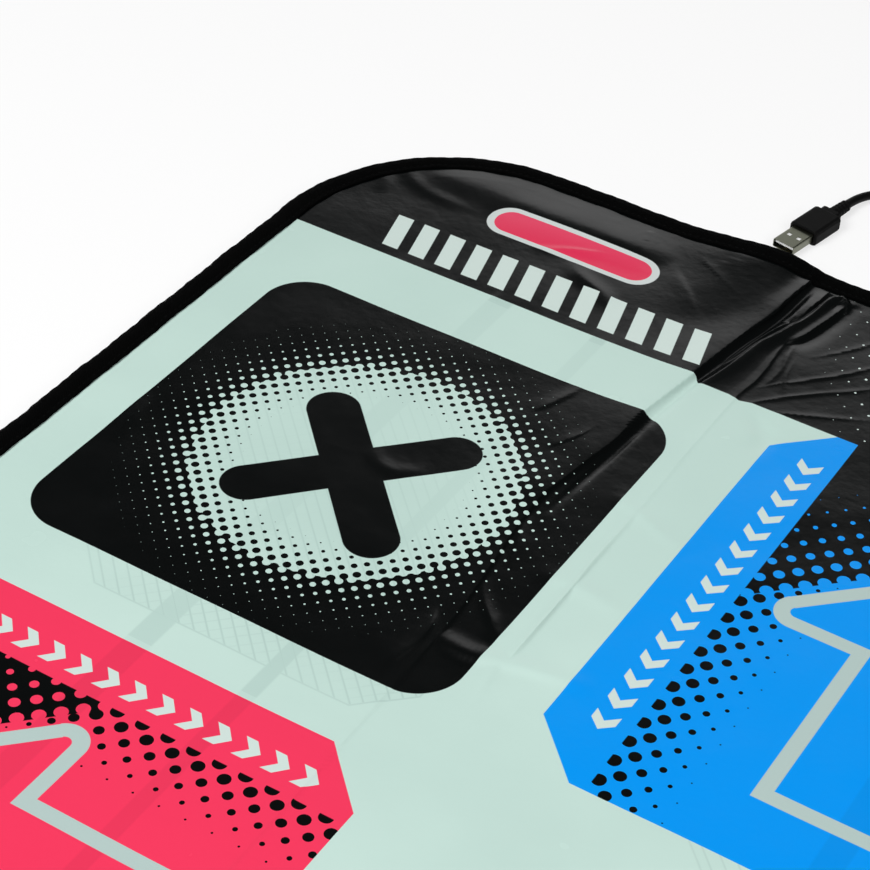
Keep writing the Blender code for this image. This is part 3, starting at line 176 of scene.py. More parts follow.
HOLLOWS = [
    Fold([(-167.5, 458, 0.4), (-168, 440, 1.0), (-169, 425, 1.2), (-171, 410, 1.2), (-174, 390, 1.2),
          (-178, 368, 1.1), (-181, 350, 1.0), (-184, 319, 1.0), (-186, 290, 1.0), (-188, 264, 0.8),
          (-190, 235, 0)], 2.5, 2, 2),
    Fold([(-158, 449, 0.3), (-158.7, 434, 0.7), (-160.6, 423, 0.6), (-163, 416, 0)], 1.0, 1.0, 2),
    Fold([(-145, 446, 0.4), (-147, 432, 0.9), (-149, 421, 0.9), (-152, 410, 0.8), (-156, 402, 0)],
          4, 1.8, 2),
    Fold([(-149, 352, 0), (-144, 343, 0.6), (-137, 335, 0.7), (-137, 320, 0)], 5, 5, 2),
]
CROSS_FOLD_Y = -120.0
CROSS_FOLD_HEIGHT = 0.9
CROSS_FOLD_REACH = 5.0
CROSS_FOLD_ROUNDNESS = 1.4
FOLD_MERGE = 3.0
FOLD_STEPS = 4
FOLD_FADE = 4.0
GRADIENT_STEP = 0.2

# The cover's waves, and where they fade: at the control box and at the rim
SLOW_WAVE = 0.30
QUICK_WAVE = 0.14
WAVE_RISE = 0.3
DEEPEST = -0.8
BOX_HALF_WIDTH = 60.0
BOX_FRONT_Y = 425.0
BOX_CLEARANCE = 4.0
BOX_REACH = 25.0
RIM_REACH = 20.0
RIM_SHARE = 0.25

# The binding's section: how far out from the mat's edge, how high above the cover or the floor, and above
# which of the two
BINDING_LIP = 12.0
BINDING_SECTION = [
    (-11.9, 0.05, "cover"), (-12.3, 0.50, "cover"), (-11.6, 0.95, "cover"), (-10.4, 0.75, "cover"),
    (-9.6, 0.75, "cover"), (-8.2, 1.15, "cover"), (-5.5, 1.45, "cover"), (-2.8, 1.15, "cover"),
    (-0.7, 0.10, "cover"), (0.3, -1.90, "cover"), (0.6, 5.0, "floor"), (0.3, 2.2, "floor"),
    (-0.6, 0.6, "floor"), (-2.5, 0.05, "floor"), (-8.0, 0.0, "floor"), (-11.8, 0.0, "floor"),
    (-12.2, 0.35, "floor"), (-11.8, 0.6, "floor"), (-2.5, 0.7, "floor"), (-0.9, 1.5, "floor"),
    (-0.5, 5.0, "floor"), (-0.9, -1.0, "cover"), (-2.5, -0.2, "cover"),
]
BINDING_STEP = 1.6
ARC_STEPS = 40
STITCH_LENGTH = 2.6
STITCH_PITCH = 3.5
STITCH_THICKNESS = 0.7
STITCH_INSET = 10.0
STITCH_ON_COVER = 0.72
STITCH_BELOW = 0.25
STITCH_CORNERS = [
    # Shares of the half length ahead, and of the half thickness to the side and up
    (-1, 0, -1), (-0.5, 1, -0.4), (-0.5, 0.6, 0.8), (-0.5, -0.6, 0.8), (-0.5, -1, -0.4),
    (0.5, 1, -0.4), (0.5, 0.6, 0.8), (0.5, -0.6, 0.8), (0.5, -1, -0.4), (1, 0, -1),
]
STITCH_FACES = [
    (0, 2, 1), (1, 2, 6, 5), (9, 5, 6), (0, 3, 2), (2, 3, 7, 6), (9, 6, 7),
    (0, 4, 3), (3, 4, 8, 7), (9, 7, 8), (0, 1, 4), (4, 1, 5, 8), (9, 8, 5),
]
BOTTOM_LOOPS = [(3.0, 0.75), (11.4, 0.75), (12.6, 0.05), (18.0, 0.02)]
BOTTOM_STEP = 12.0
TIE_THICKNESS = 0.8
TIE_ROUNDING = 1.9
TIE_CORNER_STEPS = 6
TIE_SECTION = [(-4.0, -0.1), (-3.7, 0.3), (-1.5, 0.4), (1.5, 0.4), (3.7, 0.3), (4.0, -0.1), (3.7, -0.4),
               (-3.7, -0.4)]

# Colours, as in the photograph
MINT = (199, 225, 216)
MINT_SHADE = (126, 158, 153)
MINT_INK = (208, 224, 218)
BLACK = (6, 8, 8)
PINK = (244, 58, 94)
PILL_PINK = (226, 52, 88)
# PILL_SHEEN: the lighter pink of a painted sheen on the pills' faces
PILL_SHEEN = (230, 84, 112)
PILL_RIM = (208, 216, 214)
BLUE = (0, 150, 243)
ARROW_LINE = (180, 200, 196)

# The print: its dots
ROOT_2 = math.sqrt(2)
TURN = 2 * math.pi
SCREEN_EDGE = 14.0
DOT_ROUNDNESS = 0.6
LEAST_DOT = 0.013
PANEL_DOTS = 5.3
ARROW_DOTS = 8.3

# The contact films that show through: bands, as middle and half width, and hatched combs with cut corners
FILM_SHIFT = 15.0
FILM_BANDS = [(-25.8, 5.7), (25.7, 3.6)]
HATCH_PITCH = 5.15
HATCH_SHADE = 0.26
CROSSING_SHADE = 0.13
COMB_SHADE = 0.05
COMB_HALF_WIDTH = 80.0
COMB_HALF_LENGTH = 119.5
COMB_CORNER = 180.0

# The square panels: a disc in shares of the half panel, and its largest dot in shares of the dots' pitch
PANEL_CORNER_RADIUS = 22.0
DISC_EDGE = 0.685
DISC_DOTS_FROM = 0.47
DISC_DOTS_TO = 1.22
DISC_DOT = 0.37

# The header: a fan of dots, a row of bars under each pill, and the pills as half sizes and corner radius
FAN_CENTRE_Y = 450.0
FAN_RADIUS = 150.0
FAN_CORE = 40.0
FAN_DOT = 0.4
BAR_ROW_X = 271.45
BAR_ROW_Y = 375.9
BAR_PITCH = 14.65
BAR_SLANT = 0.25
BAR_HALF_WIDTH = 4.3
BAR_HALF_HEIGHT = 12.7
BARS_EACH_WAY = 6
PILL_DROP = 0.9
PILL_RIM_SIZE = (45.9, 11.4, 11.3)
PILL_FACE_SIZE = (42.1, 8.4, 8.3)

# The arrow panels: lengths across the arrow, and inward from the panel's outer edge
OUTWARD = {"up": (0, 1), "down": (0, -1), "left": (-1, 0), "right": (1, 0)}
ARROW_HALF_WIDTH = 133.0
ARROW_STRIP = 101.0
ARROW_CHAMFER = 25.5
ARROW_DIAGONAL = 19.0
DIAGONAL_DOTS_TO = 54.0
DIAGONAL_DOT = 0.355
STRIP_DOTS = (66.0, 98.0)
STRIP_DOT = 0.37
ARROW_GRID = (0.7, 5.1)
ARROW_LINE_WIDTH = 6.8
ARROW_POINT = 29.7
ARROW_POINT_ROUNDING = 6.0
ARROW_HEAD_BACK = 122.0
ARROW_TIP = (76.9, 115.6)
ARROW_TIP_RADIUS = 6.4
STEM_HALF_WIDTH = 46.0
STEM_FROM = 110.0
STEM_TO = 212.0
MARK_ROW = 112.2
MARK_PITCH = 13.0
MARK_SLANT = 0.9
MARK_HALF_STROKE = 2.6
MARK_HALF_WIDTH = 5.2
MARK_PITCHES_EACH_WAY = 7.5

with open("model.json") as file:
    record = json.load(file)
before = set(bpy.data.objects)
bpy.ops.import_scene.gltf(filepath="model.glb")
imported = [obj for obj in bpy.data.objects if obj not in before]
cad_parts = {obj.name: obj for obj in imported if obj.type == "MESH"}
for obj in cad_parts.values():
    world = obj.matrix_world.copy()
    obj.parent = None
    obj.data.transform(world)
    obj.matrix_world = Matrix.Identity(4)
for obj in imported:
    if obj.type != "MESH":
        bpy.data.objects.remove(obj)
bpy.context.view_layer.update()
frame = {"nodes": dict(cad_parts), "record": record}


def rectangle_of(node):
    low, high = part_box(node)
    return low.x / MM, high.x / MM, low.y / MM, high.y / MM


FILM_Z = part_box("top_cover")[1].z / MM
MAT_HALF_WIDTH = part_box("edge_binding")[1].x / MM
MAT_HALF_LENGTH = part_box("edge_binding")[1].y / MM
COVER_HALF_WIDTH = MAT_HALF_WIDTH - COVER_INSET
COVER_HALF_LENGTH = MAT_HALF_LENGTH - COVER_INSET
ZONES = {zone: rectangle_of("cover_" + zone) for zone in STEP_ZONES + PILL_ZONES}
CENTRE_PANEL = (-PANEL_HALF, PANEL_HALF, MIDDLE_ROW_Y - PANEL_HALF, MIDDLE_ROW_Y + PANEL_HALF)


# The camera

def make_camera():
    data = bpy.data.cameras.new("camera")
    data.lens = CAMERA_LENS
    camera = bpy.data.objects.new("camera", data)
    right = CAMERA_FORWARD.cross(CAMERA_UP)
    turn = Matrix((right, CAMERA_UP, -CAMERA_FORWARD)).transposed()
    camera.matrix_world = Matrix.Translation(CAMERA_PLACE) @ turn.to_4x4()
    bpy.context.scene.collection.objects.link(camera)
    bpy.context.scene.camera = camera


# The cord

def smooth_route(points, steps=ROUTE_STEPS):
    # A Catmull-Rom curve through the route's own points
    line = [Vector(point) for point in points]
    line = [2 * line[0] - line[1]] + line + [2 * line[-1] - line[-2]]
    result = []
    for index in range(1, len(line) - 2):
        p0, p1, p2, p3 = line[index - 1:index + 3]
        for step in range(steps):
            t = step / steps
            result.append(0.5 * (
                2 * p1 + (p2 - p0) * t + (2 * p0 - 5 * p1 + 4 * p2 - p3) * t * t
                + (3 * p1 - p0 - 3 * p2 + p3) * t * t * t
            ))
    return result + [line[-2]]


def coil_point(turn):
    inner = COIL_MIDDLE_RADIUS - COIL_STEP * COIL_TURNS_EACH_WAY / 2
    radius = inner + COIL_STEP * math.hypot(turn, COIL_REVERSE_SOFTNESS)
    angle = math.radians(COIL_START_DEG) + TURN * (turn + COIL_TURNS_EACH_WAY)
    climb = min(max(turn / COIL_CLIMB_TURNS + 0.5, 0.0), 1.0)
    climb = climb * climb * (3 - 2 * climb)
    return Vector((
        COIL_CENTRE[0] + radius * math.cos(angle),
        COIL_CENTRE[1] + radius * math.sin(angle),
        COIL_LOW_Z + COIL_STEP * climb,
    ))


def coil_points():
    count = round(2 * COIL_TURNS_EACH_WAY * COIL_POINTS_PER_TURN)
    return [
        coil_point(2 * COIL_TURNS_EACH_WAY * step / count - COIL_TURNS_EACH_WAY)
        for step in range(count + 1)
    ]


def plug_place(along):
    turn = math.radians(PLUG_TURN_DEG)
    axis = Vector((-math.sin(turn), math.cos(turn), 0.0))
    return Vector((*PLUG_TIP, PLUG_MIDDLE_Z)) + axis * along


def make_cord():
    coil = coil_points()
    straight = Vector((STRAIGHT_END, 0.0, 0.0))
    lead = smooth_route([CORD_EXIT] + LEAD_ROUTE + [coil[0] + 2 * straight, coil[0] + straight])
    plug_ends = [plug_place(PLUG_RELIEF_END + STRAIGHT_END), plug_place(PLUG_RELIEF_END)]
    tail = smooth_route([coil[-1] - straight] + TAIL_ROUTE + plug_ends)
    points = lead + coil + tail
    curve = bpy.data.curves.new("cord", "CURVE")
    curve.dimensions = "3D"
    curve.bevel_depth = 1.0
    curve.bevel_resolution = 4
    spline = curve.splines.new("POLY")
    spline.points.add(len(points) - 1)
    for place, point in zip(spline.points, points):
        place.co = (*point, 1.0)
        place.radius = CORD_RADIUS
    spline.use_smooth = True
    cord = bpy.data.objects.new("cord", curve)
    bpy.context.scene.collection.objects.link(cord)
    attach(cord, "root")
    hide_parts("cord_lead", "cord_coil", "cord_tail")
    return cord


# The height of the cover above the floor

def fold_heights(fold, x, y):
    # The nearest point of the fold's line gives the height and the side. Places far from it are left out.
    line = np.array(smooth_route(fold.line, FOLD_STEPS))
    margin = FOLD_FADE * max(fold.left, fold.right)
    low = line.min(0) - margin
    high = line.max(0) + margin
    near = (x > low[0]) & (x < high[0]) & (y > low[1]) & (y < high[1])
    result = np.zeros_like(x)
    if not near.any():
        return result
    px, py = x[near], y[near]
    best = np.full(px.shape, np.inf)
    height = np.zeros_like(px)
    reach = np.ones_like(px)
    for start, end in zip(line, line[1:]):
        dx, dy = end[:2] - start[:2]
        length = math.hypot(dx, dy)
        t = np.clip(((px - start[0]) * dx + (py - start[1]) * dy) / length ** 2, 0, 1)
        from_x = px - (start[0] + t * dx)
        from_y = py - (start[1] + t * dy)
        distance = np.hypot(from_x, from_y)
        side = (dx * from_y - dy * from_x) / (length * np.maximum(distance, 1e-9))
        width = (fold.left + fold.right) / 2 + (fold.left - fold.right) / 2 * side
        nearer = distance < best
        best = np.where(nearer, distance, best)
        height = np.where(nearer, start[2] + t * (end[2] - start[2]), height)
        reach = np.where(nearer, width, reach)
    result[near] = height * np.exp(-(best / reach) ** fold.roundness)
    return result


def edge_inset(x, y, radius=MAT_CORNER_RADIUS):
    # How far inside the mat's outline a place lies
    over_x = np.abs(x) - (MAT_HALF_WIDTH - radius)
    over_y = np.abs(y) - (MAT_HALF_LENGTH - radius)
    round_part = np.hypot(np.maximum(over_x, 0), np.maximum(over_y, 0))
    return radius - round_part - np.minimum(np.maximum(over_x, over_y), 0)


def flatness(x, y):
    # The cover lies flat at the control box and runs level into the binding
    from_box = np.hypot(np.maximum(np.abs(x) - BOX_HALF_WIDTH, 0), np.maximum(BOX_FRONT_Y - y, 0))
    at_box = np.clip((from_box - BOX_CLEARANCE) / BOX_REACH, 0, 1)
    return at_box * np.clip(edge_inset(x, y) / RIM_REACH, RIM_SHARE, 1)


def undulation(x, y):
    slow = SLOW_WAVE * np.sin(x / 37 + 0.6 * np.sin(y / 53)) * np.sin(y / 43 + 1.1)
    quick = QUICK_WAVE * np.sin(x / 13 - y / 19 + 2.0) * np.sin(y / 17 + x / 61)
    return slow + quick


def cover_height(x, y):
    merged = np.zeros_like(x)
    for fold in FOLDS:
        merged += np.maximum(fold_heights(fold, x, y), 0) ** FOLD_MERGE
    height = merged ** (1 / FOLD_MERGE)
    for hollow in HOLLOWS:
        height -= fold_heights(hollow, x, y)
    from_cross_fold = np.abs(y - CROSS_FOLD_Y) / CROSS_FOLD_REACH
    height += CROSS_FOLD_HEIGHT * np.exp(-from_cross_fold ** CROSS_FOLD_ROUNDNESS)
    return FILM_Z + np.maximum(height + (undulation(x, y) + WAVE_RISE) * flatness(x, y), DEEPEST)


def cover_normals(x, y):
    step = GRADIENT_STEP
    slope_x = (cover_height(x + step, y) - cover_height(x - step, y)) / (2 * step)
    slope_y = (cover_height(x, y + step) - cover_height(x, y - step)) / (2 * step)
    normals = np.stack([-slope_x, -slope_y, np.ones_like(x)], axis=1)
    return normals / np.linalg.norm(normals, axis=1)[:, None]


# The cover's sheets

def new_object(name, vertices, faces, *materials):
    mesh = bpy.data.meshes.new(name)
    mesh.from_pydata([tuple(vertex) for vertex in vertices], [], [tuple(face) for face in faces])
    mesh.update()
    piece = bpy.data.objects.new(name, mesh)
    bpy.context.scene.collection.objects.link(piece)
    mesh.shade_smooth()
    for material in materials:
        mesh.materials.append(material)
    return piece


def quads(rows, columns, around=False, closed=False):
    # The faces of a grid of points. The last column may join the first, and the last row the first.
    faces = []
    for row in range(rows if closed else rows - 1):
        first = row * columns
        below = (row + 1) % rows * columns
        for column in range(columns if around else columns - 1):
            after = (column + 1) % columns
            faces.append((first + column, first + after, below + after, below + column))
    return faces


def turned_over(faces):
    return [face[:1] + face[:0:-1] for face in faces]


def grid_lines(needed, half, steps):
    # Lines at the needed places, at the sheet's edges and at the ends of the bands of steps, with as many
    # between them as the steps ask for. Places that are the same but for rounding count once.
    band_ends = {edge for band in steps for edge in band[:2] if abs(edge) < half}
    places = []
    for value in sorted(needed | {-half, half} | band_ends):
        if not places or value - places[-1] > SAME_PLACE:
            places.append(value)
    lines = [places[0]]
    for low, high in zip(places, places[1:]):
        middle = (low + high) / 2
        widest = next(step for start, end, step in steps if start <= middle <= end)
        count = math.ceil((high - low) / widest - 1e-6)
        lines += [low + (high - low) * index / count for index in range(1, count + 1)]
    return lines


def cover_lines():
    boxes = list(ZONES.values()) + [CENTRE_PANEL]
    across = {edge for box in boxes for edge in box[:2]} | {-NOTCH_HALF_WIDTH, NOTCH_HALF_WIDTH}
    along = {edge for box in boxes for edge in box[2:]} | {NOTCH_Y, HEADER_Y}
    return grid_lines(across, COVER_HALF_WIDTH, STEPS_X), grid_lines(along, COVER_HALF_LENGTH, STEPS_Y)


def drawn_in(x, y):
    # Points outside the cover's rounded outline move onto it
    radius = MAT_CORNER_RADIUS - COVER_INSET
    centre_x = np.clip(x, radius - COVER_HALF_WIDTH, COVER_HALF_WIDTH - radius)
    centre_y = np.clip(y, radius - COVER_HALF_LENGTH, COVER_HALF_LENGTH - radius)
    distance = np.hypot(x - centre_x, y - centre_y)
    share = np.where(distance > radius, radius / np.maximum(distance, 1e-9), 1.0)
    return centre_x + (x - centre_x) * share, centre_y + (y - centre_y) * share


def film_piece(name, x, y, faces, *materials):
    used = sorted({corner for face in faces for corner in face})
    place = {corner: index for index, corner in enumerate(used)}
    x, y = x[used], y[used]
    vertices = np.stack([x, y, cover_height(x, y)], axis=1) * MM
    piece = new_object(name, vertices, [[place[corner] for corner in face] for face in faces], *materials)
    piece.data.normals_split_custom_set_from_vertices(cover_normals(x, y).tolist())
    return piece


def flat_area(x, y, faces):
    corners = np.array(faces)
    cx, cy = x[corners], y[corners]
    twice = (cx[:, 2] - cx[:, 0]) * (cy[:, 3] - cy[:, 1]) - (cx[:, 3] - cx[:, 1]) * (cy[:, 2] - cy[:, 0])
    return float(np.abs(twice).sum() / 2) * MM * MM


def inside(box, x, y):
    return box[0] < x < box[1] and box[2] < y < box[3]


def make_surround(lines_x, lines_y, materials):
    grid_x, grid_y = (values.ravel() for values in np.meshgrid(lines_x, lines_y))
    outside = edge_inset(grid_x, grid_y) < COVER_INSET - 0.01
    faces = []
    regions = []
    for face in quads(len(lines_y), len(lines_x)):
        middle_x = (grid_x[face[0]] + grid_x[face[2]]) / 2
        middle_y = (grid_y[face[0]] + grid_y[face[2]]) / 2
        in_notch = abs(middle_x) < NOTCH_HALF_WIDTH and middle_y > NOTCH_Y
        in_zone = any(inside(box, middle_x, middle_y) for box in ZONES.values())
        if in_notch or in_zone or all(outside[corner] for corner in face):
            continue
        faces.append(face)
        on_panel = inside(CENTRE_PANEL, middle_x, middle_y)
        regions.append("centre" if on_panel else "header" if middle_y > HEADER_Y else "mint")
    x, y = drawn_in(grid_x, grid_y)
    names = ["mint", "header", "centre"]
    surround = film_piece("cover_surround", x, y, faces, *[materials[name] for name in names])
    surround.data.polygons.foreach_set("material_index", [names.index(region) for region in regions])
    return surround, flat_area(x, y, faces)


def lines_between(lines, low, high):
    return np.array([line for line in lines if low - SAME_PLACE < line < high + SAME_PLACE])


def make_zone(zone, lines_x, lines_y, material):
    # A patch that moves with the zone, in a frame of four strips that stretch from the surround to it
    x_low, x_high, y_low, y_high = ZONES[zone]
    width = PILL_STRIP_WIDTH if zone in PILL_ZONES else STRIP_WIDTH
    outer_x = lines_between(lines_x, x_low, x_high)
    outer_y = lines_between(lines_y, y_low, y_high)
    inner_x = np.interp(outer_x, [x_low, x_high], [x_low + width, x_high - width])
    inner_y = np.interp(outer_y, [y_low, y_high], [y_low + width, y_high - width])
    body = "zone_" + zone
    x, y = (values.ravel() for values in np.meshgrid(inner_x, inner_y))
    patch = film_piece("patch_" + zone, x, y, quads(len(inner_y), len(inner_x)), material)
    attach(patch, body)
    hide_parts("cover_" + zone)
    shares = np.linspace(0, 1, STRIP_STEPS + 1)[:, None]
    sides = {
        "west": (x_low + shares * width + 0 * outer_y, outer_y + shares * (inner_y - outer_y), (1, 0)),
        "east": (x_high - shares * width + 0 * outer_y, outer_y + shares * (inner_y - outer_y), (-1, 0)),
        "south": (outer_x + shares * (inner_x - outer_x), y_low + shares * width + 0 * outer_x, (0, 1)),
        "north": (outer_x + shares * (inner_x - outer_x), y_high - shares * width + 0 * outer_x, (0, -1)),
    }
    pieces = [patch]
    for side, (x, y, inward) in sides.items():
        faces = quads(*x.shape)
        if side in ("west", "north"):
            faces = [face[::-1] for face in faces]
        strip = film_piece(f"strip_{zone}_{side}", x.ravel(), y.ravel(), faces, material)
        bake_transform(strip)
        pieces.append(strip)
    return pieces


def make_cover(materials):
    lines_x, lines_y = cover_lines()
    surround, area = make_surround(lines_x, lines_y, materials)
    pieces = []
    for zone in ZONES:
        pieces += make_zone(zone, lines_x, lines_y, materials[zone])
    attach(surround, "root")
    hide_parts("top_cover")


# The binding round the rim, with its stitches

def corner_arcs(x_low, x_high, y_low, y_high, radius, steps):
    # Points on four rounded corners with these centres, clockwise from the upper right one: x, y and the
    # outward angle in degrees
    points = []
    corners = [(x_high, y_high, 90), (x_high, y_low, 0), (x_low, y_low, -90), (x_low, y_high, -180)]
    for x, y, start in corners:
        for index in range(steps + 1):
            angle = start - 90 * index / steps
            turn = math.radians(angle)
            points.append((x + radius * math.cos(turn), y + radius * math.sin(turn), angle))
    return points


def rim_stations(step):
    # Places on the mat's outline from the notch's right side, clockwise, to its left side: x, y, outward
    # angle and length walked
    corner_x = MAT_HALF_WIDTH - MAT_CORNER_RADIUS
    corner_y = MAT_HALF_LENGTH - MAT_CORNER_RADIUS
    route = [(NOTCH_HALF_WIDTH, MAT_HALF_LENGTH, 90.0)]
    route += corner_arcs(-corner_x, corner_x, -corner_y, corner_y, MAT_CORNER_RADIUS, ARC_STEPS)
    route.append((-NOTCH_HALF_WIDTH, MAT_HALF_LENGTH, -270.0))
    stations = []
    walked = 0.0
    for (x0, y0, a0), (x1, y1, a1) in zip(route, route[1:]):
        length = math.hypot(x1 - x0, y1 - y0)
        count = max(1, round(length / step))
        for index in range(count):
            t = index / count
            angle = math.radians(a0 + t * (a1 - a0))
            stations.append((x0 + t * (x1 - x0), y0 + t * (y1 - y0), angle, walked + t * length))
        walked += length
    x, y, angle = route[-1]
    return np.array(stations + [(x, y, math.radians(angle), walked)])


def moved_out(stations, out):
    x, y, angle, along = stations.T
    return x + out * np.cos(angle), y + out * np.sin(angle)


def rim_wave(along):
    # The tape's own unevenness: sideways, and in height
    sideways = 0.20 * np.sin(along / 9.3) + 0.18 * np.sin(along / 4.3 + 1.0)
    sideways += 0.12 * np.sin(along / 2.1 + 2.0) * np.sin(along / 13.1)
    sideways += 0.14 * np.sin(along / 1.2 + along ** 2 / 9e4)
    upward = 0.12 * np.sin(along / 2.9 + 0.5) + 0.14 * np.sin(along / 6.3)
    return sideways, upward


def make_binding(material):
    stations = rim_stations(BINDING_STEP)
    along = stations[:, 3]
    sideways, upward = rim_wave(along)
    count = len(BINDING_SECTION)
    vertices = np.zeros((len(stations), count, 3))
    for index, (out, up, carrier) in enumerate(BINDING_SECTION):
        shift = out + sideways * np.clip((out + BINDING_LIP + 6) / BINDING_LIP, 0, 1)
        height = np.full_like(along, up)
        if carrier == "cover":
            height = cover_height(*moved_out(stations, min(out, -COVER_INSET))) + up + upward * (up > 0.2)
        vertices[:, index] = np.stack([*moved_out(stations, shift), height], axis=1)
    faces = turned_over(quads(len(stations), count, around=True))
    last = (len(stations) - 1) * count
    faces.append(tuple(range(count)))
    faces.append(tuple(last + index for index in reversed(range(count))))
    binding = new_object("rim_binding", vertices.reshape(-1, 3) * MM, faces, material)
    section = np.array([[out, up] for out, up, carrier in BINDING_SECTION])
    steps = np.concatenate([[0], np.cumsum(np.linalg.norm(np.diff(section, axis=0), axis=1))])
    add_float(binding, "along", np.repeat(along, count))
    add_float(binding, "across", np.tile(steps, len(stations)))
    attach(binding, "root")
    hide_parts("edge_binding")


def add_float(piece, name, values):
    attribute = piece.data.attributes.new(name, "FLOAT", "POINT")
    attribute.data.foreach_set("value", np.asarray(values, np.float32))


def make_stitches(material):
    stations = rim_stations(STITCH_PITCH)[2:-2]
    x, y, angle, along = stations.T
    sideways, upward = rim_wave(along)
    x, y = moved_out(stations, sideways * 0.6 - STITCH_INSET)
    ahead = np.stack([np.sin(angle), -np.cos(angle), 0 * angle], axis=1) * STITCH_LENGTH / 2
    side = np.stack([np.cos(angle), np.sin(angle), 0 * angle], axis=1) * STITCH_THICKNESS / 2
    on_cover = cover_height(x, y) + STITCH_ON_COVER + upward
    rows = []
    for height, way in [(on_cover, 1), (np.full_like(x, STITCH_BELOW), -1)]:
        centre = np.stack([x, y, height], axis=1)
        up = np.array([0, 0, way * STITCH_THICKNESS / 2])
        corners = [centre + ahead * a + side * b + up * c for a, b, c in STITCH_CORNERS]
        rows.append(np.stack(corners, axis=1).reshape(-1, 3))
    vertices = np.concatenate(rows)
    faces = []
    for first in range(0, len(vertices), len(STITCH_CORNERS)):
        faces += [[first + corner for corner in face] for face in STITCH_FACES]
    stitches = new_object("rim_stitches", vertices * MM, faces, material)
    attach(stitches, "root")


# The non-slip cloth underneath

def make_bottom(material):
    stations = rim_stations(BOTTOM_STEP)
    vertices = []
    for inset, height in BOTTOM_LOOPS:
        x, y = moved_out(stations, -inset)
        vertices += np.stack([x, y, np.full_like(x, height)], axis=1).tolist()
    count = len(stations)
    faces = turned_over(quads(len(BOTTOM_LOOPS), count))
    inner = list(range(len(vertices) - count, len(vertices)))
    level = BOTTOM_LOOPS[-1][1]
    vertices += [(-NOTCH_HALF_WIDTH, NOTCH_Y, level), (NOTCH_HALF_WIDTH, NOTCH_Y, level)]
    faces.append(tuple(inner + [len(vertices) - 2, len(vertices) - 1]))
    bottom = new_object("bottom_cloth", np.array(vertices) * MM, [face[::-1] for face in faces])
    shape = bmesh.new()
    shape.from_mesh(bottom.data)
    bmesh.ops.triangulate(shape, faces=[face for face in shape.faces if len(face.verts) > 4])
    bmesh.ops.recalc_face_normals(shape, faces=shape.faces)
    area = sum(face.calc_area() for face in shape.faces)
    shape.to_mesh(bottom.data)
    shape.free()
    bottom.data.materials.append(material)
    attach(bottom, "root")
    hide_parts("bottom_cover")


# Fields: numbers that vary over a surface, built from math nodes

class Field:
    def __init__(self, tree, socket):
        self.tree = tree
        self.socket = socket

    def node(self, operation, *others, clamp=False):
        node = self.tree.nodes.new("ShaderNodeMath")
        node.operation = operation
        node.use_clamp = clamp
        for socket, value in zip(node.inputs, (self, *others)):
            connect(self.tree, value, socket)
        return Field(self.tree, node.outputs[0])

    # Each of these is one math node
    __add__ = partialmethod(node, "ADD")
    __sub__ = partialmethod(node, "SUBTRACT")
    __mul__ = partialmethod(node, "MULTIPLY")
    __neg__ = partialmethod(node, "MULTIPLY", -1.0)
    __abs__ = partialmethod(node, "ABSOLUTE")
    cos = partialmethod(node, "COSINE")
    root = partialmethod(node, "SQRT")
    power = partialmethod(node, "POWER")
    larger = partialmethod(node, "MAXIMUM")
    smaller = partialmethod(node, "MINIMUM")
    limited = partialmethod(node, "ADD", 0.0, clamp=True)

    def inverted(self):
        return -self + 1.0

    def wrapped(self, width):
        # The distance from the nearest multiple of the width
        return self.node("WRAP", width / 2, -width / 2)

    def length_with(self, other):
        return (self * self + other * other).root()


def connect(tree, value, socket):
    if isinstance(value, Field):
        tree.links.new(value.socket, socket)
    elif isinstance(value, bpy.types.NodeSocket):
        tree.links.new(value, socket)
    else:
        socket.default_value = value


def linear(colour):
    # A colour as a picture has it, 0 to 255, turned into light
    shares = [value / 255 for value in colour]
    light = [value / 12.92 if value <= 0.04045 else ((value + 0.055) / 1.055) ** 2.4 for value in shares]
    return (*light, 1.0)


def place_fields(tree, coordinate="Object", scale=1 / MM):
    coordinates = tree.nodes.new("ShaderNodeTexCoord")
    separate = tree.nodes.new("ShaderNodeSeparateXYZ")
    tree.links.new(coordinates.outputs[coordinate], separate.inputs[0])
    return [Field(tree, socket) * scale for socket in separate.outputs]


def cover_of(distance, softness=0.3):
    # 1 inside a shape, where the distance is negative, and 0 outside
    return (distance * (-1 / softness) + 0.5).limited()


def between(field, start, end):
    # 0 up to the start and 1 from the end on
    return ((field - start) * (1 / (end - start))).limited()


def paint(tree, under, over, share):
    mix = tree.nodes.new("ShaderNodeMix")
    mix.data_type = "RGBA"
    connect(tree, share, mix.inputs[0])
    for value, socket in ((under, mix.inputs[6]), (over, mix.inputs[7])):
        connect(tree, linear(value) if isinstance(value, tuple) else value, socket)
    return mix.outputs[2]


def noise(tree, scale, detail=2.0, roughness=0.5):
    coordinates = tree.nodes.new("ShaderNodeTexCoord")
    texture = tree.nodes.new("ShaderNodeTexNoise")
    texture.inputs["Scale"].default_value = scale
    texture.inputs["Detail"].default_value = detail
    texture.inputs["Roughness"].default_value = roughness
    tree.links.new(coordinates.outputs["Object"], texture.inputs["Vector"])
    return Field(tree, texture.outputs["Fac"])


def bump(tree, shader, height, strength, distance):
    node = tree.nodes.new("ShaderNodeBump")
    node.inputs["Strength"].default_value = strength
    node.inputs["Distance"].default_value = distance
    connect(tree, height, node.inputs["Height"])
    tree.links.new(node.outputs["Normal"], shader.inputs["Normal"])


def new_material(name):
    material = bpy.data.materials.new(name)
    material.use_nodes = True
    tree = material.node_tree
    return material, tree, tree.nodes["Principled BSDF"]


def set_look(tree, shader, colour, roughness, shine=0.5):
    for name, value in (("Base Color", colour), ("Roughness", roughness), ("Specular IOR Level", shine)):
        connect(tree, value, shader.inputs[name])


# The print on the cover

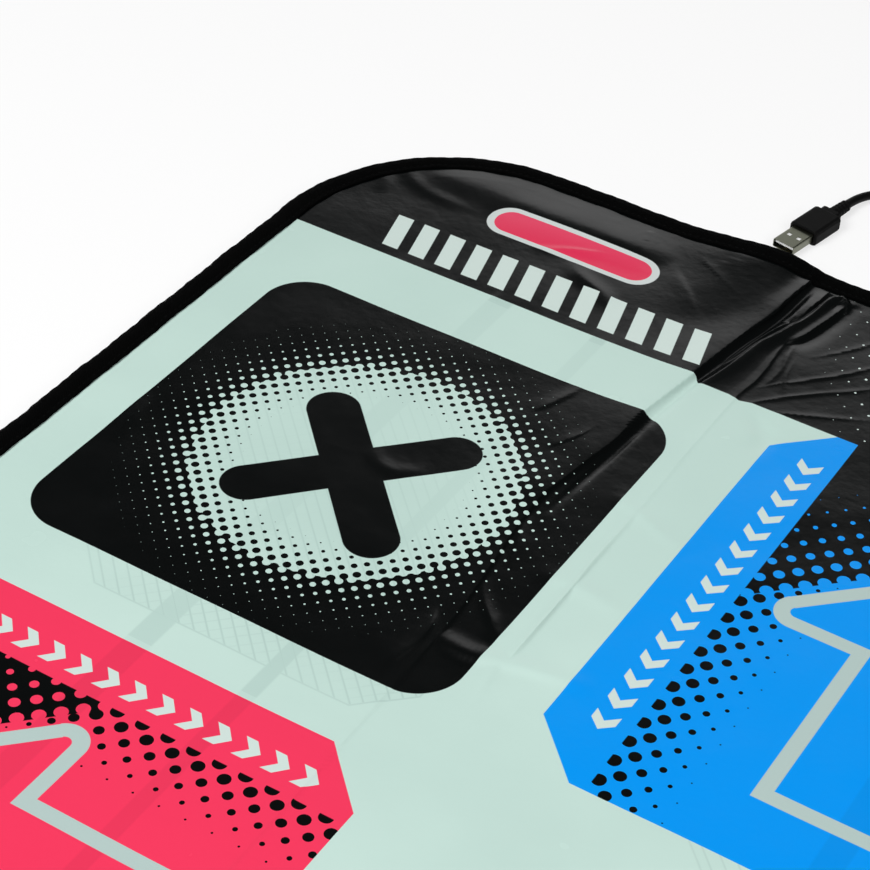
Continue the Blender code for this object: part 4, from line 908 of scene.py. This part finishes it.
def halftone(x, y, pitch):
    # Two screens: one is highest in the middle of each dot, and the other in the middle of four dots
    across = ((x + y) * (TURN / pitch / ROOT_2)).cos()
    along = ((x - y) * (TURN / pitch / ROOT_2)).cos()
    both = across * along * DOT_ROUNDNESS
    return across + along + both, both - across - along


def dot_level(size):
    # The level at which a dot has this radius, as a share of the pitch. At radius 0 it is out of reach.
    edge = (size * TURN).cos() * (1.0 + DOT_ROUNDNESS) + 1.0
    return edge + (size * -12.0 + 12.0 * LEAST_DOT).larger(0.0)


def above(screen, level):
    return ((screen - level) * SCREEN_EDGE + 0.5).limited()


def dotted_edge(x, y, pitch, outer, inner, is_inner):
    # Outside, dots that grow until they meet. Inside, the gaps between them, which shrink away.
    on_dots, between_dots = halftone(x, y, pitch)
    dots = above(on_dots, dot_level(outer))
    gaps = above(between_dots, dot_level(inner)).inverted()
    return dots + (gaps - dots) * is_inner


def film_bands(x):
    # The bands of the contact films, which darken the print above them
    column = (x - FILM_SHIFT).wrapped(PITCH)
    left, right = (cover_of(abs(column - middle) - half, 1.0) for middle, half in FILM_BANDS)
    return left.larger(right)


def hatching(diagonal, half_stroke, softness=0.5):
    return cover_of(abs((diagonal * (1 / ROOT_2)).wrapped(HATCH_PITCH)) - half_stroke, softness)


def shown_film(tree, x, y):
    # The mint film, with the contact films showing through where they touch it
    column = (x - FILM_SHIFT).wrapped(PITCH)
    row = (y - MIDDLE_ROW_Y).wrapped(PITCH)
    patches = noise(tree, 6.0, 2.0)
    crossing = hatching(column - row, 0.3) * between(patches, 0.50, 0.62)
    lines = (hatching(column + row, 0.35) * HATCH_SHADE).larger(crossing * CROSSING_SHADE)
    corner = (abs(column) + abs(row) - COMB_CORNER) * (1 / ROOT_2)
    comb = (abs(column) - COMB_HALF_WIDTH).larger(abs(row) - COMB_HALF_LENGTH).larger(corner)
    rim = cover_of(abs(comb) - 0.4, 0.6)
    combs = ((lines + COMB_SHADE) * cover_of(comb, 1.0)).larger(rim * HATCH_SHADE)
    contact = (between(patches, 0.38, 0.62) * 0.6 + 0.4) * between(row, 118.0, -90.0)
    shade = (film_bands(x) * (between(row, -60.0, -100.0) * 0.13 + 0.08)).larger(combs * contact)
    mottle = (noise(tree, 9.0, 3.0) - 0.5) * 0.36
    return paint(tree, MINT, MINT_SHADE, (shade + mottle + 0.05).limited())


def from_middle(box, x, y):
    return x - (box[0] + box[1]) / 2, y - (box[2] + box[3]) / 2


def rounded_box(x, y, half_x, half_y, radius):
    over_x = abs(x) - (half_x - radius)
    over_y = abs(y) - (half_y - radius)
    corner = over_x.larger(0.0).length_with(over_y.larger(0.0))
    return corner + over_x.larger(over_y).smaller(0.0) - radius


def capsule(x, y, direction_deg, half_length, radius):
    turn = math.radians(direction_deg)
    along = abs(x * math.cos(turn) + y * math.sin(turn)) - half_length
    across = y * math.cos(turn) - x * math.sin(turn)
    return along.larger(0.0).length_with(across) - radius


def cross_symbol(x, y):
    # Its arms differ a little, as they are printed
    slimmer = capsule(x + 0.9, y + 1.3, 47.2, 45.8, 11.3)
    return slimmer.smaller(capsule(x - 0.3, y + 3.5, -46.1, 43.4, 12.0))


def ring_symbol(x, y):
    return abs(x.length_with(y) - 34.0) - 10.5


def plus_symbol(x, y):
    return capsule(x, y, 0.0, 42.0, 11.5).smaller(capsule(x, y, 90.0, 42.0, 11.5))


def diamond_symbol(x, y):
    return abs((abs(x) + abs(y)) * (1 / ROOT_2) - 29.0) - 9.5


def spot_symbol(x, y):
    return x.length_with(y) - 9.0


SYMBOLS = {"cross": cross_symbol, "ring": ring_symbol, "plus": plus_symbol, "diamond": diamond_symbol}


def panel_colour(tree, x, y, box, symbol):
    # A black square with a disc of the mint film, whose rim breaks up into dots
    film = shown_film(tree, x, y)
    x, y = from_middle(box, x, y)
    radius = x.length_with(y) * (1 / PANEL_HALF)
    outer = between(radius, DISC_DOTS_TO, DISC_EDGE).power(4.0) * DISC_DOT
    inner = between(radius, DISC_DOTS_FROM, DISC_EDGE).power(0.75) * DISC_DOT
    is_inner = cover_of((radius - DISC_EDGE) * PANEL_HALF)
    mint = dotted_edge(x, y, PANEL_DOTS, outer, inner, is_inner)
    black = cover_of(rounded_box(x, y, PANEL_HALF, PANEL_HALF, PANEL_CORNER_RADIUS))
    black = black * mint.inverted().larger(cover_of(symbol(x, y)))
    return paint(tree, film, BLACK, black), black


def header_edge(x, y):
    # The black of the header lies lower from the crease on, and most just beside it
    drop = between(x, -181.5, -179.0) * between(x, 100.0, -90.0) * 3.2
    drop = drop + between(abs(x + 158.0), 6.0, 0.0) * 1.6
    return cover_of(-drop - y + HEADER_Y, 0.4)


def header_colour(tree, x, y):
    # Black film with a fan of small dots behind the control box, and a row of slanted bars under each pill
    radius = x.length_with(y - FAN_CENTRE_Y)
    size = between(radius, FAN_RADIUS, FAN_CORE) * FAN_DOT
    dots = above(halftone(x, y, ARROW_DOTS)[0], dot_level(size)) * cover_of(radius - FAN_RADIUS)
    height = y - BAR_ROW_Y
    along = abs(x) - BAR_ROW_X - height * BAR_SLANT
    bars = cover_of(abs((along - BAR_PITCH / 2).wrapped(BAR_PITCH)) - BAR_HALF_WIDTH)
    bars = bars * cover_of((abs(height) - BAR_HALF_HEIGHT).larger(abs(along) - BARS_EACH_WAY * BAR_PITCH))
    marks = dots.larger(bars)
    return paint(tree, BLACK, MINT_INK, marks), marks.inverted()


def pill_colour(tree, x, y, box):
    colour, black = header_colour(tree, x, y)
    x, y = from_middle(box, x, y)
    y = y + PILL_DROP
    rim = cover_of(rounded_box(x, y, *PILL_RIM_SIZE))
    face = cover_of(rounded_box(x, y, *PILL_FACE_SIZE))
    colour = paint(tree, colour, PILL_RIM, rim)
    # The pink face is painted lighter towards its top and left: a painted sheen
    pink = paint(tree, PILL_PINK, PILL_SHEEN, between(y - x * 0.12, -4.0, 9.0) * 0.7)
    return paint(tree, colour, pink, face), black * rim.inverted()


def arrow_fields(x, y, zone):
    # Across the arrow from its middle line, inward from the panel's outer edge, and the panel's depth
    x_low, x_high, y_low, y_high = ZONES[zone]
    out_x, out_y = OUTWARD[zone]
    x, y = from_middle(ZONES[zone], x, y)
    if out_y:
        return x, y * -out_y + (y_high - y_low) / 2, y_high - y_low
    return y, x * -out_x + (x_high - x_low) / 2, x_high - x_low


def arrow_shape(across, inward):
    # A head with a rounded point and rounded tips, and a stem
    slope = (across * across + ARROW_POINT_ROUNDING ** 2).root() - (inward - ARROW_POINT)
    head = (slope * (1 / ROOT_2)).larger(inward - ARROW_HEAD_BACK)
    beside = across - ARROW_TIP[0]
    below = inward - ARROW_TIP[1]
    tip = beside.length_with(below) - ARROW_TIP_RADIUS
    head = head + (tip - head) * cover_of(-beside, 0.1) * cover_of(-(beside + below), 0.1)
    stem = (across - STEM_HALF_WIDTH).larger(inward - STEM_TO).larger(-inward + STEM_FROM)
    return head.smaller(stem)


def arrow_marks(across, from_middle_row):
    # A row of chevrons on each strip
    beside = abs(across - MARK_ROW)
    in_row = from_middle_row + beside * MARK_SLANT
    marks = cover_of(abs(in_row.wrapped(MARK_PITCH)) - MARK_HALF_STROKE)
    marks = marks * cover_of(beside - MARK_HALF_WIDTH)
    return marks * cover_of(abs(in_row) - MARK_PITCH * MARK_PITCHES_EACH_WAY)


def arrow_colour(tree, x, y, zone, ink):
    # An outlined arrow and a strip at each side, in ink that breaks up into dots between them
    film = shown_film(tree, x, y)
    signed, inward, depth = arrow_fields(x, y, zone)
    across = abs(signed)
    from_row = inward - depth / 2
    corner = across + abs(from_row) - (ARROW_HALF_WIDTH + depth / 2 - ARROW_CHAMFER)
    panel = (across - ARROW_HALF_WIDTH).larger(abs(from_row) - depth / 2).larger(corner * (1 / ROOT_2))
    panel = cover_of(panel)
    diagonal = (across - inward + ARROW_DIAGONAL) * (1 / ROOT_2)
    outer = between(diagonal, DIAGONAL_DOTS_TO, 0.0) * DIAGONAL_DOT
    inner = between(across, *STRIP_DOTS) * STRIP_DOT
    grid_x, grid_y = signed - ARROW_GRID[0], inward - ARROW_GRID[1]
    dots = dotted_edge(grid_x, grid_y, ARROW_DOTS, outer, inner, cover_of(diagonal))
    arrow = arrow_shape(across, inward)
    line = cover_of(abs(arrow) - ARROW_LINE_WIDTH / 2)
    dots = dots.larger(cover_of(arrow)).larger(cover_of(-across + ARROW_STRIP))
    colour = paint(tree, BLACK, paint(tree, ink, BLACK, film_bands(x) * 0.08), dots)
    colour = paint(tree, colour, ARROW_LINE, line)
    colour = paint(tree, colour, MINT_INK, arrow_marks(across, from_row))
    black = panel * dots.larger(line).inverted()
    colour = paint(tree, film, colour, panel)
    if zone != "up":
        return colour, black
    header = header_edge(x, y)
    return paint(tree, colour, BLACK, header), black.larger(header)


def finish_film(tree, shader, colour, black):
    gloss = noise(tree, 45.0, 2.0) * 0.10 + 0.20
    set_look(tree, shader, colour, gloss - black * 0.04, shine=0.27)
    grain = noise(tree, 1100.0, 1.0)
    crumple = noise(tree, 75.0, 3.0, 0.55)
    bump(tree, shader, grain * 0.03 + crumple, 0.30, 0.0006)


def film_material(name, painter, *facts):
    material, tree, shader = new_material(name)
    x, y, z = place_fields(tree)
    colour, black = painter(tree, x, y, *facts)
    finish_film(tree, shader, colour, black)
    return material


def mint_colour(tree, x, y):
    header = header_edge(x, y)
    return paint(tree, shown_film(tree, x, y), BLACK, header), header


def film_materials():
    materials = {
        "mint": film_material("mint_film", mint_colour),
        "header": film_material("header_film", header_colour),
        "centre": film_material("centre_film", panel_colour, CENTRE_PANEL, spot_symbol),
    }
    for zone, symbol in SYMBOLS.items():
        materials[zone] = film_material(zone + "_film", panel_colour, ZONES[zone], symbol)
    for zone in OUTWARD:
        ink = BLUE if zone in ("up", "down") else PINK
        materials[zone] = film_material(zone + "_film", arrow_colour, zone, ink)
    for zone in PILL_ZONES:
        materials[zone] = film_material(zone + "_film", pill_colour, ZONES[zone])
    return materials


# The other materials

def read_float(tree, name):
    node = tree.nodes.new("ShaderNodeAttribute")
    node.attribute_name = name
    return Field(tree, node.outputs["Fac"])


def woven_tape():
    material, tree, shader = new_material("woven_tape")
    warp = (read_float(tree, "along") * (TURN / 1.3)).cos()
    weave = warp * (read_float(tree, "across") * (TURN / 0.9)).cos()
    fuzz = noise(tree, 900.0, 3.0)
    colour = paint(tree, (1, 1, 1), (8, 9, 9), (weave * 0.3 + fuzz * 0.6).limited())
    set_look(tree, shader, colour, 0.95, shine=0.03)
    bump(tree, shader, weave * 0.5 + fuzz * 0.6, 0.6, 0.0005)
    return material


def thread():
    material, tree, shader = new_material("thread")
    fuzz = noise(tree, 2500.0, 2.0)
    set_look(tree, shader, paint(tree, (2, 2, 2), (8, 9, 9), fuzz), 0.8, shine=0.05)
    bump(tree, shader, fuzz, 0.4, 0.0002)
    return material


def dotted_cloth():
    material, tree, shader = new_material("dotted_cloth")
    x, y, z = place_fields(tree)
    dots = above(halftone(x, y, 4.2)[0], 1.1)
    weave = (x * (TURN / 0.8)).cos() * (y * (TURN / 0.8)).cos()
    colour = paint(tree, (44, 45, 46), (22, 22, 23), (weave * 0.25 + 0.5).limited())
    set_look(tree, shader, paint(tree, colour, (12, 12, 13), dots), dots * -0.35 + 0.9)
    bump(tree, shader, weave * 0.2 + dots, 0.7, 0.0004)
    return material


def strap():
    material, tree, shader = new_material("strap")
    x, y, z = place_fields(tree)
    weave = (y * (TURN / 0.9)).cos() * ((x + z) * (TURN / 0.9)).cos()
    set_look(tree, shader, paint(tree, (10, 10, 11), (28, 28, 30), (weave * 0.4 + 0.4).limited()), 0.85)
    bump(tree, shader, weave, 0.5, 0.0002)
    return material


def moulded(name, colour, roughness, grain_scale, grain_depth, metallic=0.0, spread=0.15, shine=0.5):
    # Plastic, rubber or metal: its colour and gloss vary a little, and its surface has a fine grain
    material, tree, shader = new_material(name)
    lighter = tuple(min(255, round(value * (1 + spread) + 4)) for value in colour)
    mottle = noise(tree, 160.0, 3.0)
    set_look(tree, shader, paint(tree, colour, lighter, mottle), mottle * 0.12 + (roughness - 0.06), shine)
    shader.inputs["Metallic"].default_value = metallic
    bump(tree, shader, noise(tree, grain_scale, 2.0), 0.5, grain_depth)
    return material


def circuit_film():
    material, tree, shader = new_material("circuit_film")
    x, y, z = place_fields(tree)
    lines = hatching(x + y, 0.9, 0.4) * 0.9
    set_look(tree, shader, paint(tree, (205, 212, 208), (58, 60, 62), lines), 0.35)
    return material


def circuit_board():
    material, tree, shader = new_material("solder_mask")
    x, y, z = place_fields(tree)
    tracks = cover_of(abs((y + noise(tree, 60.0, 0.0) * 3.0).wrapped(2.4)) - 0.35)
    set_look(tree, shader, paint(tree, (14, 84, 44), (24, 112, 60), tracks), 0.35)
    bump(tree, shader, tracks, 0.3, 0.0001)
    return material


# Colour, roughness, and the scale and depth of the grain of each slot
PLASTICS = {
    "foam": ((222, 222, 214), 0.95, 1400.0, 0.0004),
    "case_plastic": ((24, 24, 25), 0.48, 1600.0, 0.0001),
    "chip_plastic": ((26, 26, 27), 0.5, 2200.0, 0.00005),
    "black_rubber": ((20, 20, 20), 0.6, 1200.0, 0.00008),
    "white_plastic": ((225, 226, 224), 0.4, 1200.0, 0.00005),
}
DULL_PLASTICS = {
    "cord_jacket": ((4, 4, 4), 0.55, 900.0, 0.00006),
    "plug_plastic": ((3, 3, 3), 0.65, 1500.0, 0.00008),
}
METALS = {
    "steel": ((198, 198, 194), 0.3, 900.0, 0.00004),
    "plated_shell": ((112, 114, 100), 0.30, 700.0, 0.00003),
    "contact_gold": ((230, 196, 120), 0.25, 900.0, 0.00003),
}


def slot_materials():
    made = {slot: moulded(slot, *facts) for slot, facts in PLASTICS.items()}
    made |= {slot: moulded(slot, *facts, shine=0.12) for slot, facts in DULL_PLASTICS.items()}
    made |= {slot: moulded(slot, *facts, metallic=1.0, spread=0.05) for slot, facts in METALS.items()}
    return made | {"circuit_film": circuit_film(), "board": circuit_board()}


def dress_nodes(made):
    # The CAD nodes that stay get their slot's material
    for subpart in frame["record"]["subparts"]:
        node = frame["nodes"][subpart["node"]]
        material = made.get(subpart["material_slot"])
        if material is not None:
            node.data.materials.clear()
            node.data.materials.append(material)


# The tie round the coil

def make_tie(material):
    low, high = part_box("coil_tie")
    margin = TIE_THICKNESS / 2 + TIE_ROUNDING
    loop = corner_arcs(low.x / MM + margin, high.x / MM - margin, low.z / MM + margin, high.z / MM - margin,
                       TIE_ROUNDING, TIE_CORNER_STEPS)
    middle_y = (low.y + high.y) / 2 / MM
    vertices = []
    for x, z, angle in loop:
        turn = math.radians(angle)
        for across, out in TIE_SECTION:
            vertices.append((x + out * math.cos(turn), middle_y + across, z + out * math.sin(turn)))
    faces = quads(len(loop), len(TIE_SECTION), around=True, closed=True)
    tie = new_object("coil_strap", np.array(vertices) * MM, faces, material)
    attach(tie, "root")
    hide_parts("coil_tie")
    return tie


# The floor, the lamps and the room

FLOOR_SIZE = 40.0
FLOOR_GLOW_SHARE = 0.66
RAYS_THAT_SEE_IT = ["Camera", "Glossy", "Transmission"]
LAMPS = [
    # Name, place, size and power: all point at the mat's middle
    ("key", (-1.3, -1.7, 2.3), 1.5, 79.0),
    ("fill", (1.9, -0.9, 2.1), 1.5, 39.0),
]
ROOM_LEVEL = 0.04
CEILING_LEVEL = 0.75
CEILING_HEIGHT = (0.84, 0.96)
PANEL_LEVEL = 1.24
PANEL_SLOPE = 0.875
PANEL_SLANTED_EDGE = (-0.93, -0.86)
PANEL_TOP = (0.625, 0.545)
PANEL_RIGHT_DEG = -6.0
PANEL_SOFTNESS = 0.10


def make_floor():
    half = FLOOR_SIZE / 2
    material, tree, shader = new_material("floor")
    set_look(tree, shader, (1.0, 1.0, 1.0, 1.0), 1.0, shine=0.0)
    glow = tree.nodes.new("ShaderNodeEmission")
    path = tree.nodes.new("ShaderNodeLightPath")
    camera, glossy, through = (Field(tree, path.outputs[f"Is {kind} Ray"]) for kind in RAYS_THAT_SEE_IT)
    mix = tree.nodes.new("ShaderNodeMixShader")
    connect(tree, camera.larger(glossy).larger(through) * FLOOR_GLOW_SHARE, mix.inputs[0])
    tree.links.new(shader.outputs[0], mix.inputs[1])
    tree.links.new(glow.outputs[0], mix.inputs[2])
    tree.links.new(mix.outputs[0], tree.nodes["Material Output"].inputs["Surface"])
    corners = [(-half, -half, 0), (half, -half, 0), (half, half, 0), (-half, half, 0)]
    floor = new_object("floor", corners, [(0, 1, 2, 3)], material)


def make_lamps():
    for name, place, size, power in LAMPS:
        data = bpy.data.lights.new(name, "AREA")
        data.shape = "SQUARE"
        data.size = size
        data.energy = power
        lamp = bpy.data.objects.new(name, data)
        lamp.location = place
        lamp.rotation_euler = (-Vector(place)).to_track_quat("-Z", "Y").to_euler()
        bpy.context.scene.collection.objects.link(lamp)


def make_room():
    # A dim studio room with a bright ceiling, and one soft panel behind the mat whose upper edge slants
    world = bpy.data.worlds.new("studio")
    bpy.context.scene.world = world
    world.use_nodes = True
    tree = world.node_tree
    x, y, z = place_fields(tree, "Generated", 1.0)
    turn = math.radians(PANEL_RIGHT_DEG)
    beyond_right = x * math.cos(turn) - y * math.sin(turn)
    panel = between(x * PANEL_SLOPE - z, *PANEL_SLANTED_EDGE) * between(z, *PANEL_TOP)
    panel = panel * between(beyond_right, PANEL_SOFTNESS, -PANEL_SOFTNESS) * between(y, 0.0, 0.2)
    level = panel * PANEL_LEVEL + between(z, *CEILING_HEIGHT) * CEILING_LEVEL + ROOM_LEVEL
    tree.links.new(level.socket, tree.nodes["Background"].inputs["Color"])


def main():
    bpy.context.scene.view_settings.view_transform = "Standard"
    make_camera()
    cord = make_cord()
    made = slot_materials()
    dress_nodes(made)
    cord.data.materials.append(made["cord_jacket"])
    make_cover(film_materials())
    make_binding(woven_tape())
    make_stitches(thread())
    make_bottom(dotted_cloth())
    tie = make_tie(strap())
    on_cord = ["plug_body", "plug_relief", "plug_shell", "plug_tongue"]
    on_cord += [f"plug_contact_{index}" for index in range(1, 5)]
    make_floor()
    make_lamps()
    make_room()


main()
